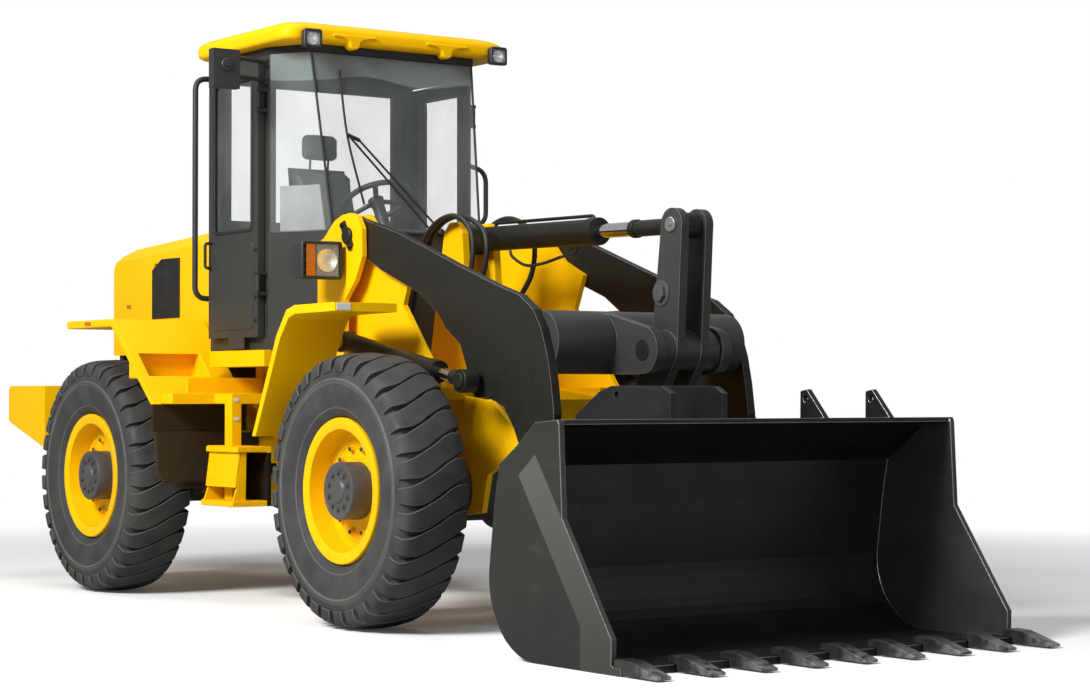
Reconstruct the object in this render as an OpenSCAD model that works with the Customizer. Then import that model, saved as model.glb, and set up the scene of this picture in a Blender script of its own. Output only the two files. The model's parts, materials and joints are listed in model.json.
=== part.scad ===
// Articulated wheel loader: rear frame with cab and engine, front frame with loader arms and bucket.
// Millimetres. +X forward, +Y to the driver's left, +Z up, wheels standing on Z = 0.

/* [Wheels] */
// Tyre radius to the tips of the lugs
tyre_r = 675; // [650:5:700]
// Tyre width over the sidewalls
tyre_w = 375; // [350:5:390]
// Distance between the left and right wheel centre planes
track = 1860; // [1840:5:1900]
// Distance between the front and rear axles
wheelbase = 2853; // [2800:1:2920]
// Radius of the rim's outer flange
rim_flange_r = 358; // [345:1:370]
// Radius of the wheel hub
hub_r = 140; // [130:1:150]
// Number of lugs round a tyre
lug_n = 33; // [28:1:33]
// Depth of the grooves between the lugs
lug_depth = 28; // [20:1:32]
// How far a lug leans between its middle and its ends, in degrees
lug_lean = 5.7; // [0:0.1:8]

/* [Frames] */
// Outer width of both chassis boxes
chassis_w = 840; // [800:10:860]
// Thickness of the chassis side plates
chassis_t = 30; // [20:1:40]
// Radius of the steering pivot pins
pivot_pin_r = 50; // [40:1:55]
// From the rear axle to the back of the counterweight
tail_overhang = 1394; // [1340:2:1450]
// Width of the counterweight
counterweight_w = 2000; // [1900:10:2100]

/* [Cab] */
// Width of the cab over the doors
cab_w = 1400; // [1380:2:1420]
// Thickness of the cab walls and doors
cab_wall_t = 40; // [30:1:50]
// Height of the cab floor
cab_floor_z = 1450; // [1440:2:1470]
// Height of the underside of the roof
cab_top_z = 3010; // [2960:5:3060]
// Thickness of the window glass
glass_t = 6; // [5:0.5:8]

/* [Hood] */
// Width of the hood
hood_w = 1000; // [960:10:1040]
// Height of the hood's top at the front
hood_top_z = 2120; // [2080:5:2160]
// Thickness of the hood's walls
hood_t = 25; // [20:1:30]

/* [Loader] */
// Height of the pins that carry the loader arms
arm_pin_z = 1970; // [1950:2:1990]
// Overall width over the two loader arms
arms_w = 1210; // [1190:2:1220]
// Thickness of an arm plate
arm_t = 45; // [35:1:50]
// Radius of the tube between the arms
cross_tube_r = 150; // [130:1:155]
// Radius of the main loader pins
pin_r = 40; // [35:1:45]
// Outer radius of the lift cylinder barrels
lift_barrel_r = 52; // [46:1:54]
// Outer radius of the tilt cylinder barrel
tilt_barrel_r = 64; // [58:1:70]

/* [Bucket] */
// Width of the bucket over its side plates
bucket_w = 2310; // [2260:10:2360]
// Thickness of the bucket's curved shell
shell_t = 22; // [16:1:28]
// Thickness of the bucket's side plates
side_t = 28; // [20:1:34]
// Number of teeth on the cutting edge
tooth_n = 9; // [7:1:11]
// Reach of a tooth ahead of the cutting edge
tooth_reach = 234; // [200:2:260]

/* [Fits] */
// Radial clearance of a pin in its bore
run_fit = 0.05; // [0.02:0.01:0.1]
// Gap between parts that move past each other
side_gap = 8; // [6:0.5:12]

/* [Hidden] */
$fn = 64;
paint = "gold";
dark = [0.17, 0.17, 0.15];
black = [0.08, 0.08, 0.08];
grey = [0.3, 0.3, 0.28];
steel = [0.75, 0.75, 0.76];
tinted = [0.6, 0.75, 0.75, 0.4];

front_axle_x = wheelbase / 2;
rear_axle_x = -wheelbase / 2;
wheel_y = track / 2;
tyre_in_y = wheel_y - tyre_w / 2;

// Loader pins in the side view, as [x, z]
arm_pin = [front_axle_x - 671.5, arm_pin_z];
knee = arm_pin + [1615, -580];
bucket_pin = arm_pin + [1945, -1610];
crank_pin = arm_pin + [1960, -620];
crank_top = arm_pin + [2015, -35];
crank_low = arm_pin + [1513, -1283];
link_pin = arm_pin + [2005, -1370];
tilt_base = arm_pin + [200, -10];
lift_base = arm_pin + [45, -552];
lift_eye = arm_pin + [1171, -761];

arm_out_y = arms_w / 2;
arm_in_y = arm_out_y - arm_t;
tower_out_y = arm_out_y + side_gap;
tower_plate_t = 27;
tower_in_y = arm_in_y - side_gap;
gland_step = 5;
lift_y = arm_out_y + 2 * side_gap + lift_barrel_r + gland_step;

// Bucket outline in the side view, measured from the bucket pin
bucket_heel = bucket_pin + [475, -10];
bucket_heel_r = 350;
edge_x = bucket_pin[0] + 1080;
edge_t = 35;
tip_x = edge_x + tooth_reach;
tail_x = rear_axle_x - tail_overhang;
mid_x = (tip_x + tail_x) / 2;

// Rear frame places
tank_front_x = -577;
door_front_x = -105;
door_rear_x = -690;
cab_rear_x = -750;
cab_y = cab_w / 2;
door_gap = 6;
side_y = cab_y - cab_wall_t - door_gap;
sill_z = 2030;
hood_front_x = cab_rear_x - 75;
hood_rear_x = rear_axle_x - 925;
hood_low_z = 1390;
hood_hinge = [hood_front_x - 40, hood_top_z - 60];
fender_top_z = 1578;
fender_t = 45;
fender_out_y = 1100;

// Shared shapes

// Moves the layout so that the origin lies under the middle of the whole machine
module placed() { translate([-mid_x, 0, 0]) children(); }

module both_sides() {
    children();
    mirror([0, 1, 0]) children();
}

// A flat plate from an [x, z] outline, between two values of y
module side_plate(points, y0, y1) {
    translate([0, y1, 0]) rotate([90, 0, 0]) linear_extrude(y1 - y0) polygon(points);
}

// A round bar along y through the [x, z] point p
module cross_pin(p, r, y0, y1) {
    translate([p[0], y1, p[1]]) rotate([90, 0, 0]) cylinder(r = r, h = y1 - y0);
}

// A box given by its low and high corners
module block(low, high) { translate(low) cube(high - low); }

function on_circle(p, r, a) = p + r * [cos(a), sin(a)];

// The four points where two circles' outer tangents touch, a little inside the circles so that all fuse
function tangent_quad(p1, r1, p2, r2) =
    let (d = p2 - p1, a = atan2(d[1], d[0]), b = acos((r1 - r2) / norm(d)), s1 = r1 - 1, s2 = r2 - 1)
    [on_circle(p1, s1, a + b), on_circle(p2, s2, a + b), on_circle(p2, s2, a - b), on_circle(p1, s1, a - b)];

// A flat link with round ends in the side view, between two values of y
module round_link(p1, r1, p2, r2, y0, y1) {
    union() {
        cross_pin(p1, r1, y0, y1);
        cross_pin(p2, r2, y0, y1);
        side_plate(tangent_quad(p1, r1, p2, r2), y0, y1);
    }
}

// Points along an arc in the side view
function arc(c, r, a0, a1, n) = [for (i = [0:n]) on_circle(c, r, a0 + (a1 - a0) * i / n)];

// An open path moved sideways by d, to its left
function unit(v) = v / norm(v);
function left_of(v) = [-v[1], v[0]];
function path_dir(p, i) = unit(p[min(i + 1, len(p) - 1)] - p[max(i - 1, 0)]);
function moved_path(p, d) = [for (i = [0:len(p) - 1]) p[i] + d * left_of(path_dir(p, i))];
function reversed(p) = [for (i = [len(p) - 1:-1:0]) p[i]];

// A hydraulic cylinder lies along +X from its base pin at the origin, its pins along Z
module barrel_body(length, r, rod_r, eye_r, eye_w, pin) {
    bore_r = rod_r + run_fit;
    neck = 25;
    floor_x = eye_r + 40;
    difference() {
        union() {
            rotate([0, 90, 0]) cylinder(r = r, h = length);
            translate([length - 70, 0, 0]) rotate([0, 90, 0]) cylinder(r = r + gland_step, h = 70);
            translate([0, 0, -eye_w / 2]) cylinder(r = eye_r, h = eye_w);
        }
        translate([floor_x, 0, 0]) rotate([0, 90, 0]) cylinder(r = bore_r, h = length);
        for (s = [-1, 1])
            translate([0, 0, s * eye_w]) cube([2 * (eye_r + neck), 2 * r + 2 * eye_r, eye_w], center = true);
        translate([0, 0, -eye_w]) cylinder(r = pin + run_fit, h = 2 * eye_w);
    }
}

module rod_body(from, to, rod_r, eye_r, eye_w) {
    union() {
        translate([from, 0, 0]) rotate([0, 90, 0]) cylinder(r = rod_r, h = to - from);
        translate([to, 0, -eye_w / 2]) cylinder(r = eye_r, h = eye_w);
    }
}

// Turns a cylinder's own axes to lie in the side view from point p towards point q, at a given y
module along_side(p, q, y) {
    d = q - p;
    translate([p[0], y, p[1]]) rotate([0, -atan2(d[1], d[0]), 0]) rotate([90, 0, 0]) children();
}

// Wheels

// Wheel axis along +Y, the outer side towards +Y, the centre plane at y = 0
module turned(profile) { rotate([-90, 0, 0]) rotate_extrude($fn = 96) polygon(profile); }

bead_w = 262;
bead_r = rim_flange_r - 26;
lug_pitch = 360 / lug_n;
// Across the tread, as [radius, distance from the centre plane, width of a groove there]
tread = [
    [tyre_r - 85, -tyre_w / 2, 42], [tyre_r - 18, -150, 34], [tyre_r, 0, 18], [tyre_r - 18, 150, 34],
    [tyre_r - 85, tyre_w / 2, 42]
];
// Down one side to the bead, as [radius, distance from the centre plane], clear of the round rim
side_line = [
    [rim_flange_r + 40, tyre_w / 2 - 20], [rim_flange_r + 2.5, bead_w / 2],
    [(bead_r - 0.5) / cos(lug_pitch / 2), bead_w / 2]
];

function round_y(p, a) = [p[0] * cos(a), p[1], p[0] * sin(a)];
function lean(y) = -lug_lean * sin(90 * max(-1, min(1, y / 170)));
// Where lug i begins (end = 0) or ends (end = 1) at a row of the tread
function lug_angle(p, i, end) =
    (i + end) * lug_pitch + lean(p[1]) + (1 - 2 * end) * atan(p[2] / 2 / p[0]);
function sunk(p) = [p[0] - lug_depth, p[1], p[2]];

// Points of one lug: its first and last edge, the floor of the groove after it, then both sides of the tyre
function lug_points(i) = concat(
    [for (e = [0, 1]) for (p = tread) round_y(p, lug_angle(p, i, e))],
    [for (k = [1:3]) round_y(sunk(tread[k]), lug_angle(tread[k], i, 1))],
    [for (k = [1:3]) round_y(sunk(tread[k]), lug_angle(tread[k], i + 1, 0))],
    [for (q = side_line) round_y([q[0], -q[1]], i * lug_pitch)],
    [for (q = side_line) round_y(q, i * lug_pitch)]
);
lug_size = 22;
function quad(a, b, c, d) = [[a, b, c], [a, c, d]];

// Faces of lug i and the groove after it
function lug_faces(i) =
    let (
        o = i * lug_size, n = ((i + 1) % lug_n) * lug_size,
        start = [for (k = [0:4]) o + k], stop = [for (k = [0:4]) o + 5 + k], next = [for (k = [0:4]) n + k],
        floor_a = [stop[0], o + 10, o + 11, o + 12, stop[4]],
        floor_b = [next[0], o + 13, o + 14, o + 15, next[4]],
        low = [for (k = [0:2]) o + 16 + k], low_n = [for (k = [0:2]) n + 16 + k],
        high = [for (k = [0:2]) o + 19 + k], high_n = [for (k = [0:2]) n + 19 + k]
    )
    concat(
        [for (k = [0:3]) each quad(start[k], stop[k], stop[k + 1], start[k + 1])],
        [for (k = [0:3]) each quad(floor_a[k], floor_b[k], floor_b[k + 1], floor_a[k + 1])],
        [[stop[0], floor_a[1], stop[1]], [stop[3], floor_a[3], stop[4]]],
        [for (k = [1, 2]) each quad(stop[k], floor_a[k], floor_a[k + 1], stop[k + 1])],
        [[next[0], next[1], floor_b[1]], [next[3], next[4], floor_b[3]]],
        [for (k = [1, 2]) each quad(next[k], next[k + 1], floor_b[k + 1], floor_b[k])],
        [[stop[0], start[0], low[0]], [stop[0], low[0], low_n[0]], [stop[0], low_n[0], next[0]]],
        [for (k = [0, 1]) each quad(low_n[k], low[k], low[k + 1], low_n[k + 1])],
        [[stop[4], next[4], high_n[0]], [stop[4], high_n[0], high[0]], [stop[4], high[0], start[4]]],
        [for (k = [0, 1]) each quad(high[k], high_n[k], high_n[k + 1], high[k + 1])],
        quad(low[2], high[2], high_n[2], low_n[2])
    );

module tyre() {
    polyhedron([for (i = [0:lug_n - 1]) each lug_points(i)], [for (i = [0:lug_n - 1]) each lug_faces(i)]);
}

module rim() {
    well_r = bead_r - 1;
    disc_y = 20;
    axle_bore = axle_end_r + run_fit;
    difference() {
        union() {
            turned([
                [well_r - 30, -150], [rim_flange_r, -150], [rim_flange_r, -136],
                [well_r, -132], [well_r, 132],
                [rim_flange_r, 136], [rim_flange_r, 150], [well_r - 30, 150], [well_r - 44, disc_y + 25],
                [hub_r, disc_y + 25], [hub_r, 148], [hub_r - 18, 160], [0, 160], [0, -110], [hub_r, -110],
                [hub_r, disc_y - 10], [well_r - 44, disc_y - 10]
            ]);
        }
        rotate([90, 0, 0]) cylinder(r = axle_bore, h = 400);
        translate([0, axle_end_y - wheel_y + 2, 0]) rotate([90, 0, 0]) cylinder(r = axle_bore, h = 400);
    }
}

axle_end_r = 95;
axle_tube_r = 165;
axle_end_y = wheel_y + 90;

module wheel_at(x, side) {
    translate([x, side * wheel_y, tyre_r]) mirror([0, side < 0 ? 1 : 0, 0]) children();
}

module axle(x) {
    translate([x, 0, tyre_r]) both_sides() union() {
        rotate([-90, 0, 0]) cylinder(r = axle_end_r, h = axle_end_y);
        rotate([-90, 0, 0]) cylinder(r = 125, h = chassis_w / 2 + 130);
        rotate([-90, 0, 0]) cylinder(r = axle_tube_r, h = chassis_w / 2 + 60);
        rotate([-90, 0, 0]) cylinder(r = 210, h = 170);
    }
}

module front_axle() { color(grey) axle(front_axle_x); }
module rear_axle() { color(grey) axle(rear_axle_x); }

module tyre_front_right() { color(black) wheel_at(front_axle_x, -1) tyre(); }
module tyre_front_left() { color(black) wheel_at(front_axle_x, 1) tyre(); }
module tyre_rear_right() { color(black) wheel_at(rear_axle_x, -1) tyre(); }
module tyre_rear_left() { color(black) wheel_at(rear_axle_x, 1) tyre(); }
module rim_front_right() { color(paint) wheel_at(front_axle_x, -1) rim(); }
module rim_front_left() { color(paint) wheel_at(front_axle_x, 1) rim(); }
module rim_rear_right() { color(paint) wheel_at(rear_axle_x, -1) rim(); }
module rim_rear_left() { color(paint) wheel_at(rear_axle_x, 1) rim(); }

// Rear frame

// Heights of the steering pivot's ears, rear frame outside, front frame inside
ear_low_z = 560;
ear_high_z = 1050;
ear_t = 50;
ear_gap = 6;
ear_r = 120;
rail_front_x = -430;
rail_rear_x = rear_axle_x - 790;
rail_top_z = 1060;
chassis_y = chassis_w / 2;
chassis_in_y = chassis_y - chassis_t;
steer_z = 820;
steer_barrel_r = 45;
steer_rod_r = 28;
steer_eye_r = 46;
steer_eye_w = 50;
steer_pin_r = 25;
steer_base = [-560, 200];
steer_eye = [330, 300];
axle_saddle_r = axle_tube_r + 0.3;
lug_plate_t = 25;
steer_lug_gap = steer_eye_w / 2 + side_gap;
steer_lug_zs = [steer_z - steer_lug_gap - lug_plate_t, steer_z + steer_lug_gap];
hood_pin_r = 12;
hood_post_r = 25;
hood_post_w = 80;
hood_post_y = 170;

// A horizontal ear that narrows from a wall at x to a round end on the steering axis
module pivot_ear(x, z, width) {
    translate([0, 0, z]) linear_extrude(ear_t) union() {
        circle(ear_r);
        polygon([[x, -width / 2], [x, width / 2], [0, ear_r], [0, -ear_r]]);
    }
}

module rear_chassis() {
    outline = [
        [rail_front_x, 520], [rail_front_x, rail_top_z], [rail_front_x - 200, rail_top_z + 180],
        [rear_axle_x - 300, rail_top_z + 60], [rail_rear_x, rail_top_z + 60], [rail_rear_x, 700],
        [rear_axle_x - 250, 560], [rear_axle_x + 250, 560]
    ];
    color(paint) difference() {
        union() {
            both_sides() side_plate(outline, chassis_y - chassis_t, chassis_y);
            block([rail_front_x - 40, -chassis_in_y, 520], [rail_front_x, chassis_in_y, 740]);
            block([rail_front_x - 40, -chassis_in_y, 900], [rail_front_x, chassis_in_y, rail_top_z]);
            block([rear_axle_x - 600, -chassis_in_y, 720],
                [rear_axle_x - 560, chassis_in_y, rail_top_z - 70]);
            // Posts with the pin that the hood turns on
            for (y = [-hood_post_y, hood_post_y - hood_post_w]) {
                block([hood_hinge[0] - hood_post_r, y, rail_top_z],
                    [hood_hinge[0] + hood_post_r, y + hood_post_w, hood_hinge[1]]);
                cross_pin(hood_hinge, hood_post_r, y, y + hood_post_w);
            }
            block([hood_hinge[0] - 30, -chassis_in_y, rail_top_z - 40],
                [hood_hinge[0] + 30, chassis_in_y, rail_top_z + 20]);
            cross_pin(hood_hinge, hood_pin_r, -310, 310);
        }
        cross_pin([rear_axle_x, tyre_r], axle_saddle_r, -chassis_w, chassis_w);
    }
}

// The rear half of the steering pivot, and the lugs for the steering cylinders on a plate between the rails
module rear_pivot() {
    plate_x = steer_base[0] - 80;
    color(paint) {
        for (z = [ear_low_z, ear_high_z - ear_t]) difference() {
            pivot_ear(rail_front_x, z, 2 * chassis_in_y);
            cylinder(r = pivot_pin_r + run_fit, h = ear_high_z + 100);
        }
        union() {
            for (z = steer_lug_zs) block([plate_x, -290, z], [steer_base[0] + 35, 290, z + lug_plate_t]);
            block([plate_x, -chassis_in_y, steer_z - 120], [plate_x + 15, chassis_in_y, steer_z + 120]);
            for (s = [-1, 1]) translate([steer_base[0], s * steer_base[1], steer_z - 58])
                cylinder(r = steer_pin_r, h = 116);
        }
    }
}

// Posts and beams that carry the cab
module cab_frame() {
    beam_z = cab_low_z - 90;
    post_y = chassis_y - 90;
    rear_x = cab_rear_x + 50;
    front_x = -60;
    beam_w = 80;
    out_y = cab_y - 10;
    color(paint) both_sides() union() {
        block([rear_x, post_y, rail_top_z - 60], [rear_x + beam_w, chassis_in_y, cab_low_z]);
        block([rail_front_x - beam_w, post_y, rail_top_z], [rail_front_x, chassis_in_y, cab_low_z]);
        block([rear_x, post_y, beam_z], [front_x, chassis_y, cab_low_z]);
        for (x = [rear_x, front_x - beam_w])
            block([x, chassis_y, beam_z], [x + beam_w, out_y, cab_low_z]);
        block([rear_x, out_y - 70, beam_z], [front_x, out_y, cab_low_z]);
    }
}

module engine_block() {
    in_y = chassis_in_y;
    x0 = hood_rear_x + 250;
    x1 = hood_front_x - 260;
    color(grey) union() {
        block([x0, -300, rail_top_z], [x1, 300, hood_low_z + 480]);
        for (x = [x0 + 60, x1 - 200]) block([x, -in_y, rail_top_z - 60], [x + 140, in_y, rail_top_z + 1]);
    }
}

module rear_grille() {
    bar_n = 7;
    grille_low_z = counter_top_z;
    grille_high_z = hood_top_z - 230;
    half_w = hood_w / 2 - hood_t - 10;
    x = hood_rear_x + 10;
    pitch = (grille_high_z - grille_low_z - 120) / bar_n;
    color(dark) union() {
        difference() {
            block([x, -half_w, grille_low_z], [x + 60, half_w, grille_high_z]);
            block([x - 1, -half_w + 60, grille_low_z + 60], [x + 40, half_w - 60, grille_high_z - 60]);
        }
        for (i = [0:bar_n - 1])
            block([x + 5, -half_w + 60, grille_low_z + 60 + (i + 0.3) * pitch],
                [x + 40, half_w - 60, grille_low_z + 60 + (i + 0.7) * pitch]);
    }
}

hitch_x = tail_x + 120;
hitch_r = 26;
counter_front_x = rear_axle_x - 850;
counter_top_z = 1200;
lamp_set = 4;
rear_lamp_low = [tail_x + lamp_set, counterweight_w / 2 - 260, 1040];
rear_lamp_high = [tail_x + 40, counterweight_w / 2 - 60, 1140];

module counterweight() {
    half = counterweight_w / 2;
    outline = [
        [counter_front_x, 820], [counter_front_x, counter_top_z], [tail_x + 20, counter_top_z],
        [tail_x, counter_top_z - 20], [tail_x, 985],
        [tail_x + 40, 965]
    ];
    color(paint) difference() {
        union() {
            side_plate(outline, -half, half);
            block([counter_front_x - 60, -chassis_y, 720], [rail_rear_x, chassis_y, 1120]);
        }
        // Pockets for the rear lamps
        both_sides() block(rear_lamp_low - [lamp_set + 1, 0.3, 0.3], rear_lamp_high + [0, 0.3, 0.3]);
        // Tow hitch slot and its pin hole
        block([tail_x - 1, -110, 1030], [tail_x + 200, 110, 1110]);
        translate([hitch_x, 0, 700]) cylinder(r = hitch_r, h = 600);
    }
}

// The rear mudguard's sloping front, from the shelf down to the front wall, as [x, z]
slope_top = [rear_axle_x + 326, fender_top_z];
slope_low = [tank_front_x, 1093];

function slope_x(z) = slope_top[0]
    + (slope_low[0] - slope_top[0]) * (slope_top[1] - z) / (slope_top[1] - slope_low[1]);
// Toe hole in the slope
toe_z = [1249, 1377];
toe_y = [660, 1040];
toe_wall = 14;
toe_back_x = slope_x(toe_z[1]) - 77;

module rear_fenders() {
    inner_y = hood_w / 2 + 12;
    box_z = toe_z + [-toe_wall, toe_wall];
    outline = [
        [rear_axle_x - 300, fender_top_z - fender_t], [rear_axle_x - 300, fender_top_z], slope_top, slope_low,
        slope_low + [0, -150], slope_low + [-25, -150], slope_low + [-25, -12], slope_top + [-20, -fender_t]
    ];
    toe_box = [
        [toe_back_x - toe_wall, box_z[0]], [slope_x(box_z[0]) - 1, box_z[0]],
        [slope_x(box_z[1]) - 1, box_z[1]], [toe_back_x - toe_wall, box_z[1]]
    ];
    color(paint) both_sides() difference() {
        union() {
            side_plate(outline, inner_y, fender_out_y);
            // Box round the toe hole
            side_plate(toe_box, toe_y[0] - toe_wall, toe_y[1] + toe_wall);
            // Inner wall that stands on the chassis
            side_plate([
                [rear_axle_x - 300, fender_top_z - fender_t], slope_top + [-20, -fender_t],
                slope_low + [-25, -12], slope_low + [-25, -150], [rear_axle_x + 560, rail_top_z],
                [rear_axle_x - 300, rail_top_z]
            ], inner_y, inner_y + 25);
            block([rear_axle_x - 200, chassis_y, rail_top_z], [rear_axle_x + 400, inner_y, rail_top_z + 40]);
        }
        block([toe_back_x, toe_y[0], toe_z[0]], [slope_low[0], toe_y[1], toe_z[1]]);
    }
}

module tank_boxes() {
    inner_y = chassis_y + 0.5;
    x0 = rear_axle_x + tyre_r + 60;
    color(dark) both_sides() union() {
        block([x0, inner_y, 620], [tank_front_x - 26, tyre_in_y + 160, 930]);
    }
}

module access_steps() {
    inner_y = chassis_y + 0.5;
    color(paint) both_sides() union() {
        // Platform below the cab door
        block([tank_front_x, inner_y, 1093], [tank_front_x + 130, 1050, 1150]);
        block([tank_front_x, inner_y, 1150], [tank_front_x + 25, 900, 1240]);
        // Post down to the lower steps
        block([-340, 720, 560], [-255, 780, 1093 + 57]);
        block([tank_front_x, inner_y, 1093], [-255, 780, 1093 + 57]);
        // Lower steps
        block([-430, 640, 830], [-60, 850, 860]);
        block([-430, 640, 560], [-60, 665, 860]);
        block([-430, 640, 535], [-60, 880, 565]);
        block([tank_front_x, inner_y, 700], [-430 + 40, 665, 760]);
    }
}

// Cab

front_pillar = [-75, side_y];
screen_back_x = front_pillar[0] + 12;
screen_top = [160, 522];
screen_low = [320, 476];
cab_low_z = 1390;

// Outline of the cab seen from above: doors at the sides, a narrower bay at the front
function cab_plan(inset) = [
    [cab_rear_x + inset, -side_y + inset], [door_front_x, -side_y + inset],
    [front_pillar[0] + inset, -front_pillar[1] + inset], [screen_low[0] - inset, -screen_low[1] + inset / 2],
    [screen_low[0] - inset, screen_low[1] - inset / 2], [front_pillar[0] + inset, front_pillar[1] - inset],
    [door_front_x, side_y - inset], [cab_rear_x + inset, side_y - inset]
];

module cab_shell() {
    t = cab_wall_t;
    color(dark) difference() {
        union() {
            difference() {
                translate([0, 0, cab_low_z]) linear_extrude(cab_top_z - cab_low_z) polygon(cab_plan(0));
                translate([0, 0, cab_floor_z]) linear_extrude(cab_top_z) polygon(cab_plan(t));
            }
            // Door hinges: a bracket above and below each barrel, and the pin between them
            both_sides() for (z = hinge_zs) {
                for (dz = [-22, 92]) block([door_front_x + 2, side_y - 1, z + dz], [door_hinge[0] + 14,
                    door_hinge[1] + 12, z + dz + 20]);
                translate([door_hinge[0], door_hinge[1], z - 20]) cylinder(r = hinge_pin_r, h = 130);
            }
        }
        // Door openings
        block([door_rear_x + 20, -cab_y - 1, cab_floor_z + 20],
            [door_front_x - 20, cab_y + 1, cab_top_z - 40]);
        // Windscreen opening between the front pillars, with its two angled side panes
        translate([0, 0, sill_z]) linear_extrude(cab_top_z - sill_z + 1)
            polygon([
                [screen_back_x, -cab_y], [screen_low[0] + 50, -cab_y], [screen_low[0] + 50, cab_y],
                [screen_back_x, cab_y]
            ]);
        // Rear window
        block([cab_rear_x - 1, -side_y + 110, 2140], [cab_rear_x + t + 1, side_y - 110, cab_top_z - 90]);
    }
}

// A pane between four outer corners and the four inner ones behind them, the first two along its foot
module pane(outer, inner) {
    sides = [for (i = [0:3]) let (j = (i + 1) % 4) each [[i, j, j + 4], [i, j + 4, i + 4]]];
    polyhedron(concat(outer, inner), concat([[0, 2, 1], [0, 3, 2], [4, 5, 6], [4, 6, 7]], sides));
}

// A front pane and two angled side panes, with an open seam between them
module windscreen() {
    high_z = cab_top_z - 0.5;
    seam = 4;
    front_in = [glass_t, 0, 0];
    side_in = [glass_t / 2, glass_t, 0];
    back_x = screen_back_x + seam + side_in[0];
    front_pane = [
        [screen_low[0], -screen_low[1] + seam, sill_z], [screen_low[0], screen_low[1] - seam, sill_z],
        [screen_top[0], screen_top[1] - seam, high_z], [screen_top[0], -screen_top[1] + seam, high_z]
    ];
    side_pane = [
        [back_x, -front_pillar[1], sill_z], [screen_low[0] - 2 * seam, -screen_low[1], sill_z],
        [screen_top[0] - 2 * seam, -screen_top[1], high_z], [back_x, -front_pillar[1], high_z]
    ];
    color(tinted) {
        pane(front_pane, [for (p = front_pane) p - front_in]);
        both_sides() pane(side_pane, [for (p = side_pane) p - [side_in[0], -side_in[1], 0]]);
    }
}

module cab_glass() {
    color(tinted) block([cab_rear_x + 10, -side_y + 110.5, 2140.5],
        [cab_rear_x + 10 + glass_t, side_y - 110.5, cab_top_z - 90.5]);
}

roof_lip_z = [cab_top_z + 40, cab_top_z + 105];
roof_front_x = 245;
finger_y = 300;
finger_r = 34;

// A crowned top with a lip all round, a neck on the pillars and two fingers that hang from the front lip
module cab_roof() {
    rear_x = cab_rear_x - 90;
    half = cab_y + 30;
    neck = [
        [cab_rear_x + 1, -side_y + 1], [front_pillar[0], -side_y + 1], [screen_top[0] + 20, -screen_top[1]],
        [screen_top[0] + 20, screen_top[1]], [front_pillar[0], side_y - 1], [cab_rear_x + 1, side_y - 1]
    ];
    color(paint) union() {
        hull() {
            block([rear_x + 25, -half + 25, roof_lip_z[0]],
                [roof_front_x - 25, half - 25, roof_lip_z[0] + 1]);
            block([rear_x, -half, roof_lip_z[0] + 25], [roof_front_x, half, roof_lip_z[1]]);
            block([rear_x + 120, -half + 150, cab_top_z + 130],
                [roof_front_x - 150, half - 150, cab_top_z + 175]);
        }
        translate([0, 0, cab_top_z]) linear_extrude(roof_lip_z[0] - cab_top_z + 1) polygon(neck);
        both_sides() translate([roof_front_x - 60, finger_y, roof_lip_z[0] + 10]) {
            rotate([0, 90, 0]) cylinder(r = finger_r, h = 75);
            translate([0, -finger_r, 0]) cube([75, 2 * finger_r, 50]);
        }
    }
}

door_low_z = cab_low_z + 70;
door_high_z = cab_top_z - 45;
door_hinge = [door_front_x + 8, cab_y + 6];
hinge_zs = [door_low_z + 250, door_high_z - 250];
hinge_pin_r = 7;
hinge_h = 90;

module door(side) {
    y1 = cab_y;
    y0 = cab_y - cab_wall_t;
    color(dark) mirror([0, side < 0 ? 1 : 0, 0]) difference() {
        union() {
            block([door_rear_x, y0, door_low_z], [door_front_x - 4, y1, door_high_z]);
            for (z = hinge_zs) {
                translate([door_hinge[0], door_hinge[1], z]) cylinder(r = 2 * hinge_pin_r, h = hinge_h);
                block([door_front_x - 30, y0 + 20, z], [door_hinge[0], door_hinge[1], z + hinge_h]);
            }
        }
        block([door_rear_x + 70, y0 - 1, sill_z + 20], [door_front_x - 74, y1 + 1, door_high_z - 70]);
        for (z = hinge_zs) translate([door_hinge[0], door_hinge[1], z - 1])
            cylinder(r = hinge_pin_r + run_fit, h = hinge_h + 2);
    }
}

module door_glass(side) {
    y = cab_y - 20;
    color(tinted) mirror([0, side < 0 ? 1 : 0, 0])
        block([door_rear_x + 70.5, y - glass_t / 2, sill_z + 20.5], [door_front_x - 74.5, y + glass_t / 2,
            door_high_z - 70.5]);
}

module door_right() { door(-1); }
module door_left() { door(1); }
module door_glass_right() { door_glass(-1); }
module door_glass_left() { door_glass(1); }

module seat() {
    color(black) union() {
        block([-560, -180, cab_floor_z], [-260, 180, cab_floor_z + 260]);
        block([-600, -250, cab_floor_z + 260], [-150, 250, cab_floor_z + 420]);
        hull() {
            block([-600, -240, cab_floor_z + 420], [-480, 240, cab_floor_z + 440]);
            block([-690, -220, cab_floor_z + 1000], [-600, 220, cab_floor_z + 1020]);
        }
        block([-690, -130, cab_floor_z + 1040], [-610, 130, cab_floor_z + 1230]);
        block([-660, -60, cab_floor_z + 1020], [-640, 60, cab_floor_z + 1040]);
    }
}

module console() {
    wheel_c = [0, 0, cab_floor_z + 800];
    color(black) union() {
        block([60, -130, cab_floor_z], [200, 130, cab_floor_z + 560]);
        translate([130, 0, cab_floor_z + 540]) rotate([0, -30, 0]) cylinder(r = 35, h = 290);
        translate(wheel_c + [-15, 0, -20]) rotate([0, -30, 0]) {
            rotate_extrude() translate([190, 0]) circle(16, $fn = 24);
            for (a = [90, 210, 330]) rotate([0, 0, a]) translate([0, -14, -8]) cube([190, 28, 14]);
            translate([0, 0, -20]) cylinder(r = 45, h = 30);
        }
    }
}

module roof_lamps() {
    color(grey) both_sides() block([245, 545, cab_top_z - 5], [330, 660, cab_top_z + 100]);
}

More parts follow.
